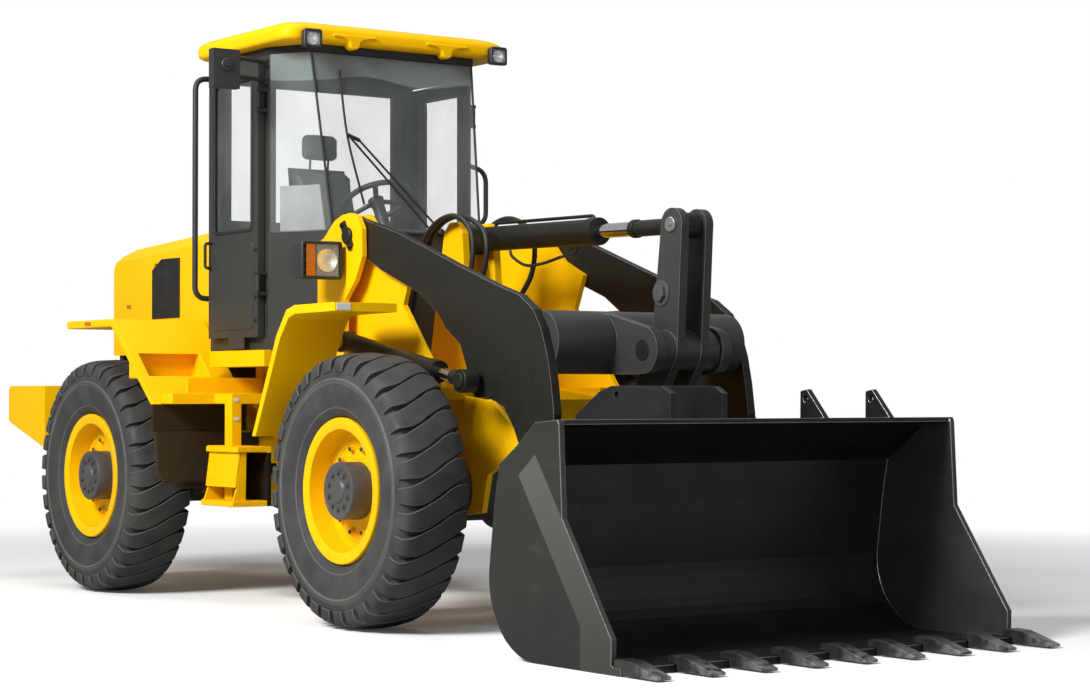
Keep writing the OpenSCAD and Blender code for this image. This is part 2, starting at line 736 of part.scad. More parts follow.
mirror_turn = -67;

// The mirror on the driver's right, on two arms from the front pillar
module side_mirror() {
    color(black) union() {
        block([0, -1060, 2790], [55, -900, 3000]);
        for (z = [2865, 2965]) {
            block([door_front_x + 7, -side_y - 22, z - 20], [front_pillar[0] + 3, -side_y, z + 20]);
            translate([front_pillar[0] - 10, -side_y - 12, z]) rotate([0, 90, mirror_turn])
                cylinder(r = 11, h = 275);
        }
    }
}

module handrails() {
    r = 16;
    x = cab_rear_x + 30;
    y = cab_y + 70;
    color(black) both_sides() union() {
        translate([x, y, 1690]) cylinder(r = r, h = 1250);
        for (z = [1690, 2940]) {
            translate([x, side_y, z]) rotate([-90, 0, 0]) cylinder(r = r, h = y - side_y);
            translate([x, y, z]) sphere(r);
        }
    }
}

module rear_lamps() { color("firebrick") both_sides() block(rear_lamp_low, rear_lamp_high); }

// Hood

hood_shoulder = 70;
hood_fall = atan2(70, hood_front_x - hood_rear_x - 190);

// A side view outline across the hood, with its two upper edges cut back along the top's fall
module hood_form(outline, half, top_z) {
    cut = hood_shoulder;
    difference() {
        side_plate(outline, -half, half);
        both_sides() translate([hood_front_x, half, top_z]) rotate([0, -hood_fall, 0])
            translate([-2000, 0, 0]) rotate([90, 0, 90]) linear_extrude(2100)
                polygon([[-cut - 1, 1], [1, 1], [1, -cut - 1]]);
    }
}

module hood() {
    half = hood_w / 2;
    vent_x = [rear_axle_x - 364, rear_axle_x - 28];
    vent_z = [1620, 1950];
    vent_n = 8;
    outer = [
        [hood_rear_x, hood_low_z], [hood_rear_x, hood_top_z - 190], [hood_rear_x + 60, hood_top_z - 110],
        [hood_rear_x + 190, hood_top_z - 70], [hood_front_x, hood_top_z], [hood_front_x, hood_low_z]
    ];
    inner = [
        [hood_rear_x - 1, hood_low_z - 1], [hood_rear_x - 1, hood_top_z - 220],
        [hood_rear_x + 80, hood_top_z - 140], [hood_rear_x + 200, hood_top_z - 100],
        [hood_front_x + 1, hood_top_z - hood_t],
        [hood_front_x + 1, hood_low_z - 1]
    ];
    pitch = (vent_z[1] - vent_z[0]) / vent_n;
    color(paint) difference() {
        union() {
            difference() {
                hood_form(outer, half, hood_top_z);
                hood_form(inner, half - hood_t, hood_top_z - hood_t);
            }
            // Hinge barrels under the front edge
            for (y = [-300, 220]) {
                cross_pin(hood_hinge, 22, y, y + 80);
                block([hood_hinge[0] - 20, y, hood_hinge[1]],
                    [hood_hinge[0] + 20, y + 80, hood_top_z - hood_t + 5]);
            }
        }
        for (i = [0:vent_n - 1])
            block([vent_x[0], -half - 1, vent_z[0] + (i + 0.2) * pitch],
                [vent_x[1], half + 1, vent_z[0] + (i + 0.8) * pitch]);
        translate(exhaust_at - [0, 0, 1]) cylinder(r = exhaust_r + 0.3, h = 200);
        cross_pin(hood_hinge, hood_pin_r + run_fit, -half + hood_t + 1, half - hood_t - 1);
    }
}

exhaust_at = [hood_front_x - 540, 0, hood_top_z - 70];
exhaust_r = 45;
exhaust_h = 410;

module exhaust() {
    color(grey) translate(exhaust_at) difference() {
        cylinder(r = exhaust_r, h = exhaust_h);
        translate([0, 0, 120]) cylinder(r = exhaust_r - 7, h = exhaust_h);
    }
}

// Front frame

front_rear_x = 460;
front_top_z = 1180;

module front_chassis() {
    outline = [
        [front_rear_x, 520], [front_axle_x - 300, 500], [front_axle_x + 250, 560], [front_axle_x + 300, 749],
        [front_axle_x + 445, 817], [front_axle_x + 590, 902], [front_axle_x + 560, 960],
        [front_axle_x + 330, 1110], [front_axle_x - 300, front_top_z], [front_rear_x, front_top_z]
    ];
    in_y = chassis_in_y;
    color(paint) difference() {
        union() {
            both_sides() side_plate(outline, in_y, chassis_y);
            block([front_rear_x, -in_y, 520], [front_rear_x + 40, in_y, front_top_z]);
            block([front_rear_x, -in_y, front_top_z - 40], [front_axle_x - 300, in_y, front_top_z]);
            block([front_axle_x + 250, -in_y, 780], [front_axle_x + 290, in_y, 1120]);
        }
        cross_pin([front_axle_x, tyre_r], axle_saddle_r, -chassis_w, chassis_w);
    }
}

// The front half of the steering pivot with its pins, and the ears for the steering cylinders' rods
module front_pivot() {
    color(paint) {
        for (ear_z = [ear_low_z + ear_t + ear_gap, ear_high_z - 2 * ear_t - ear_gap]) union() {
            pivot_ear(front_rear_x, ear_z, 2 * chassis_in_y);
            translate([0, 0, ear_z < steer_z ? ear_low_z - 20 : ear_z])
                cylinder(r = pivot_pin_r, h = 2 * ear_t + ear_gap + 20);
        }
        for (s = [-1, 1], z = steer_lug_zs)
            block([steer_eye[0] - 45, s * steer_eye[1] - 60, z],
                [front_rear_x, s * steer_eye[1] + 60, z + lug_plate_t]);
    }
}

// Two plates with the tilt cylinder's pin between them
module tilt_bracket() {
    in_y = 74;
    out_y = 118;
    outline = [
        tilt_base + [-90, 40], tilt_base + [-40, 90], tilt_base + [40, 90], tilt_base + [85, 30],
        [tilt_base[0] + 160, front_top_z], [tilt_base[0] - 260, front_top_z]
    ];
    color(paint) union() {
        both_sides() side_plate(outline, in_y, out_y);
        cross_pin(tilt_base, pin_r, -out_y, out_y);
    }
}

// Outer and inner tower plates with the arm's pin between them
module tower() {
    top = arm_pin;
    outer = [
        top + [-315, -790], top + [-315, -20], top + [-250, 0], top + [-142, 85], top + [-60, 112],
        top + [20, 118], top + [90, 100], top + [138, 30], top + [143, -112], top + [73, -233],
        top + [-30, -330], top + [-50, -790]
    ];
    inner = [
        top + [-315, -790], top + [-315, -20], top + [-60, 112], top + [60, 112], top + [300, -110],
        top + [480, -190], top + [400, -370], top + [640, -640], top + [770, -790]
    ];
    out0 = tower_out_y;
    out1 = tower_out_y + tower_plate_t;
    in0 = tower_in_y - tower_plate_t;
    in1 = tower_in_y;
    union() {
        side_plate(outer, out0, out1);
        side_plate(inner, in0, in1);
        // Rear wall and foot that join the two plates
        block([top[0] - 315, in0, top[1] - 790], [top[0] - 285, out1, top[1] - 260]);
        block([top[0] - 315, chassis_y, top[1] - 850], [top[0] + 770, out1, top[1] - 790]);
        cross_pin(top, pin_r, in0, out1);
        cross_pin(lift_base, pin_r - 5, in0, lift_y + 50);
    }
}

module towers() { color(paint) both_sides() tower(); }

module front_fenders() {
    in_y = lift_y + lift_barrel_r + gland_step + side_gap;
    bend_x = front_axle_x - 610;
    t = 38;
    outline = [
        [front_axle_x - 25, 1552], [front_axle_x - 25, 1596], [bend_x + 184, 1592], [bend_x + 103, 1570],
        [bend_x, 1441], [bend_x - 253, 930], [bend_x - 253 + t, 930], [bend_x + t, 1425],
        [bend_x + 125, 1528], [bend_x + 190, 1548]
    ];
    color(paint) both_sides() union() {
        side_plate(outline, in_y, fender_out_y);
        // Bracket from the tower's outer plate
        block([bend_x - 200, tower_out_y + tower_plate_t, 1230], [bend_x - 55, in_y + 40, 1290]);
    }
}

module head_lamps() {
    y0 = tower_out_y + tower_plate_t;
    color(grey) both_sides() union() {
        block([front_axle_x - 880, y0 + 25, 1740], [front_axle_x - 680, y0 + 270, 1940]);
        block([front_axle_x - 820, y0, 1800], [front_axle_x - 760, y0 + 25, 1880]);
    }
}

// Loader arms

module arm() {
    outline = concat(
        [arm_pin + [60, 90], arm_pin + [434, -8], knee + [-637, 386], knee + [-299, 276], knee + [-106, 222],
         knee + [8, 152], knee + [73, 60], knee + [121, -59], knee + [152, -188], knee + [176, -340],
         knee + [130, -540], bucket_pin + [-130, 260], bucket_pin + [-40, 60]],
        [bucket_pin + [-75, -40], bucket_pin + [-330, 330], bucket_pin + [-436, 547],
         bucket_pin + [-478, 622], bucket_pin + [-561, 725], bucket_pin + [-654, 758],
         lift_eye + [60, -80], lift_eye + [-40, -75], lift_eye + [-122, 93], knee + [-610, 0],
         knee + [-735, 79], knee + [-817, 162], knee + [-992, 267], arm_pin + [270, -188],
         arm_pin + [61, -91]]
    );
    difference() {
        union() {
            side_plate(outline, arm_in_y, arm_out_y);
            cross_pin(arm_pin, 105, arm_in_y, arm_out_y);
            cross_pin(bucket_pin, 95, arm_in_y, arm_out_y);
            cross_pin(lift_eye, 80, arm_in_y, arm_out_y);
        }
        cross_pin(arm_pin, pin_r + run_fit, 0, arm_out_y + 50);
        cross_pin(bucket_pin, pin_r + run_fit, 0, arm_out_y + 50);
    }
}

module arms() { color(dark) both_sides() arm(); }

crank_plate_t = 45;
crank_hub_r = 98;
crank_in_y = 50;
crank_out_y = crank_in_y + crank_plate_t;
lug_in_y = 172;
lug_t = 50;

module cross_tube() {
    color(dark) union() {
        cross_pin(knee, cross_tube_r, -arm_in_y, arm_in_y);
        for (s = [-1, 1])
            round_link(knee, cross_tube_r, crank_pin, 110, s > 0 ? lug_in_y : -lug_in_y - lug_t,
                s > 0 ? lug_in_y + lug_t : -lug_in_y);
        cross_pin(crank_pin, pin_r, -lug_in_y, lug_in_y);
    }
}

module bellcrank() {
    color(dark) difference() {
        union() {
            for (s = [-1, 1]) {
                y0 = s > 0 ? crank_in_y : -crank_out_y;
                y1 = s > 0 ? crank_out_y : -crank_in_y;
                round_link(crank_top, 78, crank_pin, crank_hub_r, y0, y1);
                round_link(crank_pin, crank_hub_r, crank_low, 74, y0, y1);
            }
            cross_pin(crank_pin, 95, -lug_in_y + side_gap, lug_in_y - side_gap);
        }
        cross_pin(crank_pin, pin_r + run_fit, -300, 300);
    }
}

module bucket_link() {
    half = crank_in_y - side_gap;
    color(dark) difference() {
        round_link(crank_low, 62, link_pin, 60, -half, half);
        cross_pin(link_pin, link_pin_r + run_fit, -200, 200);
        cross_pin(crank_low, pin_r, -200, 200);
    }
}

// Bucket

heel_path = arc(bucket_heel, bucket_heel_r, -85, -192, 12);
lip_back = bucket_pin + [475, 665];
lip_front = bucket_pin + [640, 678];
back_path = [bucket_pin + [166, 303], bucket_pin + [205, 482], bucket_pin + [334, 562], lip_back, lip_front];
shell_out = concat([[edge_x, 0], [edge_x - 500, 0]], heel_path, back_path);
shell_in = moved_path(shell_out, -shell_t);
side_front = [
    bucket_pin + [650, 660], bucket_pin + [672, 264], bucket_pin + [1015, -214], bucket_pin + [1013, -318]
];

lug_ys = [356, 762];
lug_hole = bucket_pin + [510, 765];
lug_hole_r = 16;
// Tall ears on the right half, with a hole at their back
tall_ear_ys = [-arm_in_y + side_gap + 15, -lug_in_y - lug_t - side_gap - 15];
tall_ear_hole = bucket_pin + [250, 782];
tall_ear = [
    lip_front, bucket_pin + [640, 790], bucket_pin + [585, 820], bucket_pin + [215, 823],
    bucket_pin + [120, 795], bucket_pin + [-60, 690], bucket_pin + [-60, 650], bucket_pin + [205, 480],
    bucket_pin + [334, 560], lip_back
];
link_pin_r = 32;

module bucket() {
    half = bucket_w / 2;
    color(black) difference() {
        union() {
            side_plate(concat(shell_out, reversed(shell_in)), -half + side_t, half - side_t);
            for (s = [-1, 1]) side_plate(concat(shell_out, side_front),
                s > 0 ? half - side_t : -half, s > 0 ? half : -half + side_t);
            // Cutting edge
            block([edge_x - 300, -half, 0], [edge_x, half, edge_t]);
            // Lugs on the left half of the top edge
            for (y = lug_ys) side_plate([
                lip_back, bucket_pin + [475, 800], bucket_pin + [520, 808], lip_front
            ], y - 15, y + 15);
        }
        for (y = lug_ys) cross_pin(lug_hole, lug_hole_r, y - 20, y + 20);
    }
}

// Ears and pins on the bucket's back: four for the arms, two for the tilt link and two tall ones
module bucket_ears() {
    half = bucket_w / 2;
    ear_w = 30;
    in_y = arm_in_y - side_gap - ear_w;
    out_y = arm_out_y + side_gap;
    color(black) difference() {
        union() {
            both_sides() {
                for (y = [in_y, out_y])
                    round_link(bucket_pin, 85, bucket_pin + [210, 60], 150, y, y + ear_w);
                cross_pin(bucket_pin, pin_r, in_y, out_y + ear_w);
                round_link(link_pin, 62, link_pin + [140, 20], 100, crank_in_y, crank_out_y);
            }
            cross_pin(link_pin, link_pin_r, -crank_out_y, crank_out_y);
            for (y = tall_ear_ys) side_plate(tall_ear, y - 15, y + 15);
        }
        for (y = tall_ear_ys) cross_pin(tall_ear_hole, lug_hole_r, y - 20, y + 20);
        side_plate(concat(shell_out, [[edge_x, lip_front[1]]]), -half, half);
    }
}

module bucket_teeth() {
    tooth_w = 78;
    pitch = (bucket_w - tooth_w) / (tooth_n - 1);
    profile = [
        [edge_x - 50, edge_t], [edge_x + 8, edge_t], [edge_x + 8, 8], [tip_x, 8], [tip_x, 20],
        [edge_x + 60, 68], [edge_x - 25, 72], [edge_x - 50, 64]
    ];
    color(dark) for (i = [0:tooth_n - 1]) {
        y = -bucket_w / 2 + i * pitch;
        side_plate(profile, y, y + tooth_w);
    }
}

// Hydraulic cylinders

tilt_len = norm(crank_top - tilt_base);
tilt_barrel_len = 1130;
lift_len = norm(lift_eye - lift_base);
lift_barrel_len = 900;

module tilt_barrel() {
    color(dark) along_side(tilt_base, crank_top, 0)
        barrel_body(tilt_barrel_len, tilt_barrel_r, 35, 75, 120, pin_r);
}

module tilt_rod() {
    color(steel) along_side(tilt_base, crank_top, 0)
        rod_body(tilt_barrel_len - 420, tilt_len, 35, 58, 2 * (crank_in_y - side_gap));
}

module lift_barrels() {
    color(dark) both_sides() along_side(lift_base, lift_eye, lift_y)
        barrel_body(lift_barrel_len, lift_barrel_r, 30, 55, 80, pin_r - 5);
}

module lift_rods() {
    color(steel) both_sides() along_side(lift_base, lift_eye, lift_y)
        rod_body(140, lift_len, 30, 55, 80);
}

steer_len = norm(steer_eye - steer_base);
steer_barrel_len = 600;

module steer_placed(side) {
    d = steer_eye - steer_base;
    translate([steer_base[0], side * steer_base[1], steer_z])
        rotate([0, 0, side * atan2(d[1], d[0])]) children();
}

module steer_barrel_right() {
    color(dark) steer_placed(-1)
        barrel_body(steer_barrel_len, steer_barrel_r, steer_rod_r, steer_eye_r, steer_eye_w, steer_pin_r);
}
module steer_barrel_left() {
    color(dark) steer_placed(1)
        barrel_body(steer_barrel_len, steer_barrel_r, steer_rod_r, steer_eye_r, steer_eye_w, steer_pin_r);
}
module steer_rod_right() {
    color(steel) steer_placed(-1) rod_body(330, steer_len, steer_rod_r, steer_eye_r, steer_eye_w);
}
module steer_rod_left() {
    color(steel) steer_placed(1) rod_body(330, steer_len, steer_rod_r, steer_eye_r, steer_eye_w);
}

placed() rear_chassis();
placed() rear_pivot();
placed() cab_frame();
placed() engine_block();
placed() rear_grille();
placed() counterweight();
placed() rear_fenders();
placed() access_steps();
placed() tank_boxes();
placed() rear_axle();
placed() cab_shell();
placed() cab_roof();
placed() windscreen();
placed() cab_glass();
placed() seat();
placed() console();
placed() roof_lamps();
placed() side_mirror();
placed() handrails();
placed() rear_lamps();
placed() hood();
placed() exhaust();
placed() door_right();
placed() door_left();
placed() door_glass_right();
placed() door_glass_left();
placed() front_chassis();
placed() front_pivot();
placed() tilt_bracket();
placed() towers();
placed() front_fenders();
placed() head_lamps();
placed() front_axle();
placed() arms();
placed() cross_tube();
placed() bucket();
placed() bucket_ears();
placed() bucket_teeth();
placed() bellcrank();
placed() bucket_link();
placed() tilt_barrel();
placed() tilt_rod();
placed() lift_barrels();
placed() lift_rods();
placed() steer_barrel_right();
placed() steer_barrel_left();
placed() steer_rod_right();
placed() steer_rod_left();
placed() tyre_front_right();
placed() tyre_front_left();
placed() tyre_rear_right();
placed() tyre_rear_left();
placed() rim_front_right();
placed() rim_front_left();
placed() rim_rear_right();
placed() rim_rear_left();
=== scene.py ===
"""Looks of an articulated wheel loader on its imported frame. Metres, +X forward, +Y left, +Z up."""
import json
import math

import bmesh
import bpy
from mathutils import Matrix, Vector


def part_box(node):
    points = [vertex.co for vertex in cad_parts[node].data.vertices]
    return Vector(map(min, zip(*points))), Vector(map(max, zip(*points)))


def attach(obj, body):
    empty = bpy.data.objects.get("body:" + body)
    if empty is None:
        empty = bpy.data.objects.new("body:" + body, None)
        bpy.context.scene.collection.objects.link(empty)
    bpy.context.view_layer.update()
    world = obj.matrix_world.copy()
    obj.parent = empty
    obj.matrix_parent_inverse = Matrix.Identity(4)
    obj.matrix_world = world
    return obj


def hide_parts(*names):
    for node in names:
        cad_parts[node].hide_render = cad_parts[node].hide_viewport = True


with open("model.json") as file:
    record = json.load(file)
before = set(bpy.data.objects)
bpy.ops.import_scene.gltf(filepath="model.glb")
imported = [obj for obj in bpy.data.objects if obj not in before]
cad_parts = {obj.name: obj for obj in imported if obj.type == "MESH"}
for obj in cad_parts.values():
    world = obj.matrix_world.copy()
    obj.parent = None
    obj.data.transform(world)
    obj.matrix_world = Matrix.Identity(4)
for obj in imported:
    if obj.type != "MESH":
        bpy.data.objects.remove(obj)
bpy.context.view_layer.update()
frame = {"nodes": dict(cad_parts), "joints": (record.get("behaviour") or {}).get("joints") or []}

SCENE = bpy.context.scene
JOINT_AT = {j["name"]: Vector(j["pos_m"]) for j in frame["joints"] if j["type"] == "hinge"}
STEER_X = JOINT_AT["steer"].x
SIDES = {"right": -1, "left": 1}
BOTH_SIDES = tuple(SIDES.values())
X_AXIS, Y_AXIS = Vector((1, 0, 0)), Vector((0, 1, 0))


def at(x, y, z):
    """A point of the machine's layout, with x measured from the steering axis."""
    return Vector((x + STEER_X, y, z))


def outward(side):
    return Vector((0, side, 0))


def on_side(box, side):
    """A box of the left side put on either side, its corners in order of y."""
    (x0, y0, z0), (x1, y1, z1) = box
    low, high = sorted((side * y0, side * y1))
    return (x0, low, z0), (x1, high, z1)


def linked(name, data):
    obj = bpy.data.objects.new(name, data)
    SCENE.collection.objects.link(obj)
    return obj


def mixed(a, b, t):
    return a + (b - a) * t


def eased(low, high, value):
    """A smooth rise from 0 at low to 1 at high."""
    t = min(1.0, max(0.0, (value - low) / (high - low)))
    return t * t * (3 - 2 * t)


# Materials

MASK_EDGE = 0.001
DUST_FOOT, DUST_TOP = 0.2, 1.4
GLASS_TINT, SHADE_BAND_Z, SHADE_BAND_EDGE = (0.4, 0.47, 0.45), 2.88, 0.012
SIDE_PLATE_T, PLATE_MARGIN, PLATE_SKIN = 0.028, 0.002, 0.004
FENDER_LIP_Z = 1.092
STEP_WALL_Y, STEP_TREAD_Z = 0.667, 0.828
# Rear edge of the bucket's side cutters in the side view, as [x, z], and their width
CUTTER_TOP, CUTTER_FOOT, CUTTER_W = (3.051, 0.797), (3.501, 0.184), 0.155


def darker(colour, share):
    return tuple(c * share for c in colour)


class Nodes:
    """A node tree that function calls fill."""

    def __init__(self, tree):
        self.tree = tree

    def feed(self, socket, value):
        """Links a node's output to a socket, or sets the socket to a constant."""
        if isinstance(value, bpy.types.NodeSocket):
            self.tree.links.new(value, socket)
        else:
            socket.default_value = value

    def node(self, kind, inputs, **settings):
        """Adds a shader node and returns its outputs."""
        made = self.tree.nodes.new(kind)
        for key, value in settings.items():
            setattr(made, key, value)
        for key, value in inputs.items():
            self.feed(made.inputs[key], value)
        return made.outputs

    def span(self, value, low, high, to_low=0.0, to_high=1.0):
        inputs = {"Value": value, "From Min": low, "From Max": high, "To Min": to_low, "To Max": to_high}
        return self.node("ShaderNodeMapRange", inputs)[0]

    def math(self, how, a, b):
        return self.node("ShaderNodeMath", {0: a, 1: b}, operation=how)[0]

    def rays(self, *kinds):
        """1 for the rays of the named kinds."""
        path = self.node("ShaderNodeLightPath", {})
        total = path[kinds[0]]
        for kind in kinds[1:]:
            total = self.math("MAXIMUM", total, path[kind])
        return total


class Finish(Nodes):
    """A material: one principled shader fed by noise in the object's own metres."""

    def __init__(self, name):
        self.mat = bpy.data.materials.new(name)
        self.mat.use_nodes = True
        super().__init__(self.mat.node_tree)
        self.bsdf = self.tree.nodes["Principled BSDF"]
        self.coords = self.node("ShaderNodeTexCoord", {})["Object"]
        self.axes = self.node("ShaderNodeSeparateXYZ", {0: self.coords})

    def noise(self, size, detail=4.0, stretch=(1, 1, 1)):
        scale = [1 / (size * s) for s in stretch]
        place = self.node("ShaderNodeMapping", {"Vector": self.coords, "Scale": scale})[0]
        return self.node("ShaderNodeTexNoise", {"Vector": place, "Scale": 1.0, "Detail": detail})[0]

    def patches(self, size, low, high, detail=4.0):
        """A value that wanders from low to high in patches of about one size."""
        return self.span(self.noise(size, detail), 0.3, 0.7, low, high)

    def blend(self, factor, first, second):
        first, second = (c if isinstance(c, bpy.types.NodeSocket) else (*c, 1.0) for c in (first, second))
        return self.node("ShaderNodeMix", {0: factor, 6: first, 7: second}, data_type="RGBA")[2]

    def mottled(self, first, second, size, detail=4.0, low=0.35, high=0.7):
        """Two colours in soft patches of about one size."""
        return self.blend(self.span(self.noise(size, detail), low, high), first, second)

    def set(self, **values):
        """Feeds inputs of the shader, where a tuple is a colour."""
        for key, value in values.items():
            socket = self.bsdf.inputs[key.replace("_", " ").title().replace("Ior", "IOR")]
            self.feed(socket, (*value, 1.0) if isinstance(value, tuple) else value)
        return self

    def plane(self, point, normal):
        """Distance in front of a plane."""
        away = self.node("ShaderNodeVectorMath", {0: self.coords, 1: point}, operation="SUBTRACT")[0]
        return self.node("ShaderNodeVectorMath", {0: away, 1: normal}, operation="DOT_PRODUCT")["Value"]

    def above(self, value, limit):
        """1 where a value lies above a limit, else 0."""
        return self.span(value, limit - MASK_EDGE, limit + MASK_EDGE)

    def below(self, value, limit):
        return self.span(value, limit - MASK_EDGE, limit + MASK_EDGE, 1.0, 0.0)

    def both(self, *masks):
        total = masks[0]
        for mask in masks[1:]:
            total = self.math("MULTIPLY", total, mask)
        return total

    def bump(self, height, strength, distance):
        inputs = {"Height": height, "Strength": strength, "Distance": distance}
        return self.set(normal=self.node("ShaderNodeBump", inputs)[0])


def painted(name, colour, shade, dust, rough, specular=0.5, other=None):
    """Sprayed paint with road dust that thins upwards; other is a second colour and its mask's function."""
    f = Finish(name)
    tone = f.blend(f.span(f.noise(0.9), 0.35, 0.75, 0.0, 0.55), colour, shade)
    low = f.span(f.axes[2], DUST_FOOT, DUST_TOP, 0.75, 0.05)
    specks = f.span(f.noise(0.05, 8.0), 0.42, 0.72)
    tone = f.blend(f.math("MULTIPLY", low, f.math("MULTIPLY", specks, 0.5)), tone, dust)
    if other:
        second, mask = other
        tone = f.blend(mask(f), tone, second)
    rough = f.patches(0.12, rough - 0.06, rough + 0.08, 6.0)
    f.set(base_color=tone, roughness=rough, specular_ior_level=specular)
    return f.bump(f.noise(0.004, 2.0), 0.06, 0.0006).mat


def bare_metal(name, colour, rough, brushed=(1, 1, 1)):
    """Bright steel with fine marks along one direction."""
    f = Finish(name)
    marks = f.noise(0.01, 6.0, brushed)
    f.set(base_color=f.blend(f.span(marks, 0.35, 0.7), colour, darker(colour, 0.7)), metallic=1.0)
    f.set(roughness=f.span(marks, 0.3, 0.7, rough * 0.7, rough * 1.4))
    return f.bump(marks, 0.05, 0.0005).mat


def moulded(name, colour, rough, grain=0.003):
    """Moulded plastic or rubber with a pebbled grain."""
    f = Finish(name)
    f.set(base_color=f.mottled(colour, darker(colour, 0.7), 0.25))
    f.set(roughness=f.patches(0.08, rough - 0.08, rough + 0.1))
    return f.bump(f.noise(grain, 3.0), 0.15, 0.0008).mat


def tyre_rubber():
    """Dusty rubber in changing greys, with brown dirt in patches."""
    f = Finish("tyre_rubber")
    tone = f.mottled((0.026, 0.027, 0.027), (0.052, 0.052, 0.05), 0.12, 6.0, 0.3)
    tone = f.blend(f.span(f.noise(0.35, 5.0), 0.5, 0.8, 0.0, 0.35), tone, (0.085, 0.078, 0.066))
    f.set(base_color=tone, roughness=f.patches(0.06, 0.55, 0.85, 6.0), specular_ior_level=0.35)
    return f.bump(f.noise(0.006, 5.0), 0.25, 0.0015).mat


def window_glass():
    """Tinted window glass with a faint film of dust."""
    f = Finish("window_glass")
    f.set(base_color=f.mottled(GLASS_TINT, darker(GLASS_TINT, 0.85), 0.5, low=0.3))
    f.set(alpha=f.span(f.noise(0.3, 5.0), 0.3, 0.8, 0.05, 0.13))
    return f.set(roughness=0.03).mat


def screen_glass():
    """The windscreen: clear glass with a grey shade band along its top edge."""
    f = Finish("screen_glass")
    wave = f.math("SINE", f.math("MULTIPLY", f.axes[1], 9.0), 0.0)
    height = f.math("ADD", f.axes[2], f.math("MULTIPLY", wave, 0.02))
    band = f.span(height, SHADE_BAND_Z - SHADE_BAND_EDGE, SHADE_BAND_Z + SHADE_BAND_EDGE)
    film = f.span(f.noise(0.3, 5.0), 0.3, 0.8, 0.07, 0.14)
    f.set(base_color=f.blend(band, (0.45, 0.52, 0.5), (0.2, 0.23, 0.22)))
    f.set(alpha=f.math("MAXIMUM", film, f.math("MULTIPLY", band, 0.8)))
    return f.set(roughness=0.03).mat


def lens(name, colour, cover):
    """A ribbed lamp lens."""
    f = Finish(name)
    ribs = f.node("ShaderNodeTexWave", {"Vector": f.coords, "Scale": 45.0}, bands_direction="Z")[1]
    f.set(base_color=f.blend(f.span(ribs, 0.2, 0.8), colour, darker(colour, 0.75)), alpha=cover)
    return f.set(roughness=0.08, specular_ior_level=0.8).bump(ribs, 0.3, 0.001).mat


def fender_apron_dark_and_painted_shade(f):
    """Mask of the wall below the rear fenders' lip, which gets the tank's dark colour with painted shade."""
    return f.below(f.axes[2], FENDER_LIP_Z)


def step_wall_painted_shade(f):
    """Mask of the wall behind the lower steps, which is painted near black as painted shade."""
    inside = f.below(f.math("ABSOLUTE", f.axes[1], 0.0), STEP_WALL_Y)
    return f.both(inside, f.below(f.axes[2], STEP_TREAD_Z))


def side_cutter(f):
    """Mask of the strip along the front edge of the bucket's side plates, with its heel."""
    top, foot = at(CUTTER_TOP[0], 0, CUTTER_TOP[1]), at(CUTTER_FOOT[0], 0, CUTTER_FOOT[1])
    down = (foot - top).normalized()
    ahead = f.plane(top, down.cross(Y_AXIS))
    strip = f.both(f.above(ahead, 0.0), f.above(f.plane(top, down), 0.0), f.below(ahead, CUTTER_W))
    heel = f.both(f.above(f.axes[0], foot.x), f.below(f.axes[2], foot.z))
    return f.math("MAXIMUM", strip, heel)


def bucket_steel():
    """Black painted plate with scrapes, greyer side plates and cutters, and painted light on the side plates'
    inner faces.
    """
    f = Finish("bucket_steel")
    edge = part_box("bucket")[1].y
    beside = f.math("ABSOLUTE", f.axes[1], 0.0)
    on_plate = f.above(beside, edge - SIDE_PLATE_T - PLATE_MARGIN)
    tone = f.mottled((0.0065, 0.0065, 0.007), (0.012, 0.012, 0.012), 0.5, low=0.3, high=0.75)
    # The side plates go lighter from the bottom up.
    plate = f.blend(f.span(f.axes[2], 0.15, 0.9), (0.0085, 0.0088, 0.007), (0.019, 0.0195, 0.0155))
    plate = f.blend(f.span(f.noise(0.4), 0.35, 0.7, 0.0, 0.3), plate, (0.022, 0.022, 0.018))
    tone = f.blend(on_plate, tone, plate)
    # Painted light: the side plates' inner faces are made lighter than their outer faces.
    inner = f.both(on_plate, f.below(beside, edge - PLATE_SKIN))
    tone = f.blend(inner, tone, f.mottled((0.034, 0.034, 0.031), (0.05, 0.05, 0.046), 0.3))
    cutter = f.both(side_cutter(f), f.above(beside, edge - PLATE_SKIN))
    # The cutters go lighter from the bottom up.
    cutter_tone = f.blend(f.span(f.axes[2], 0.1, 0.8), (0.035, 0.036, 0.029), (0.075, 0.078, 0.07))
    tone = f.blend(cutter, tone, cutter_tone)
    scrapes = f.span(f.noise(0.03, 8.0, (12, 0.35, 3)), 0.62, 0.78, 0.0, 0.35)
    tone = f.blend(scrapes, tone, (0.07, 0.068, 0.063))
    f.set(base_color=tone, roughness=f.patches(0.15, 0.34, 0.5, 6.0), specular_ior_level=0.35)
    return f.bump(f.noise(0.02, 6.0), 0.08, 0.001).mat


def tooth_steel():
    """Black cast teeth, worn bright towards their tips."""
    f = Finish("tooth_steel")
    low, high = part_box("bucket_teeth")
    black = f.mottled((0.012, 0.012, 0.011), (0.026, 0.026, 0.024), 0.06)
    tip = f.span(f.axes[0], mixed(low.x, high.x, 0.45), high.x)
    worn = f.both(tip, f.span(f.noise(0.04, 6.0), 0.36, 0.6))
    f.set(base_color=f.blend(worn, black, (0.3, 0.3, 0.29)), metallic=f.span(worn, 0.0, 1.0, 0.0, 0.7))
    f.set(roughness=f.patches(0.03, 0.3, 0.48, 6.0))
    return f.bump(f.noise(0.012, 6.0), 0.12, 0.001).mat
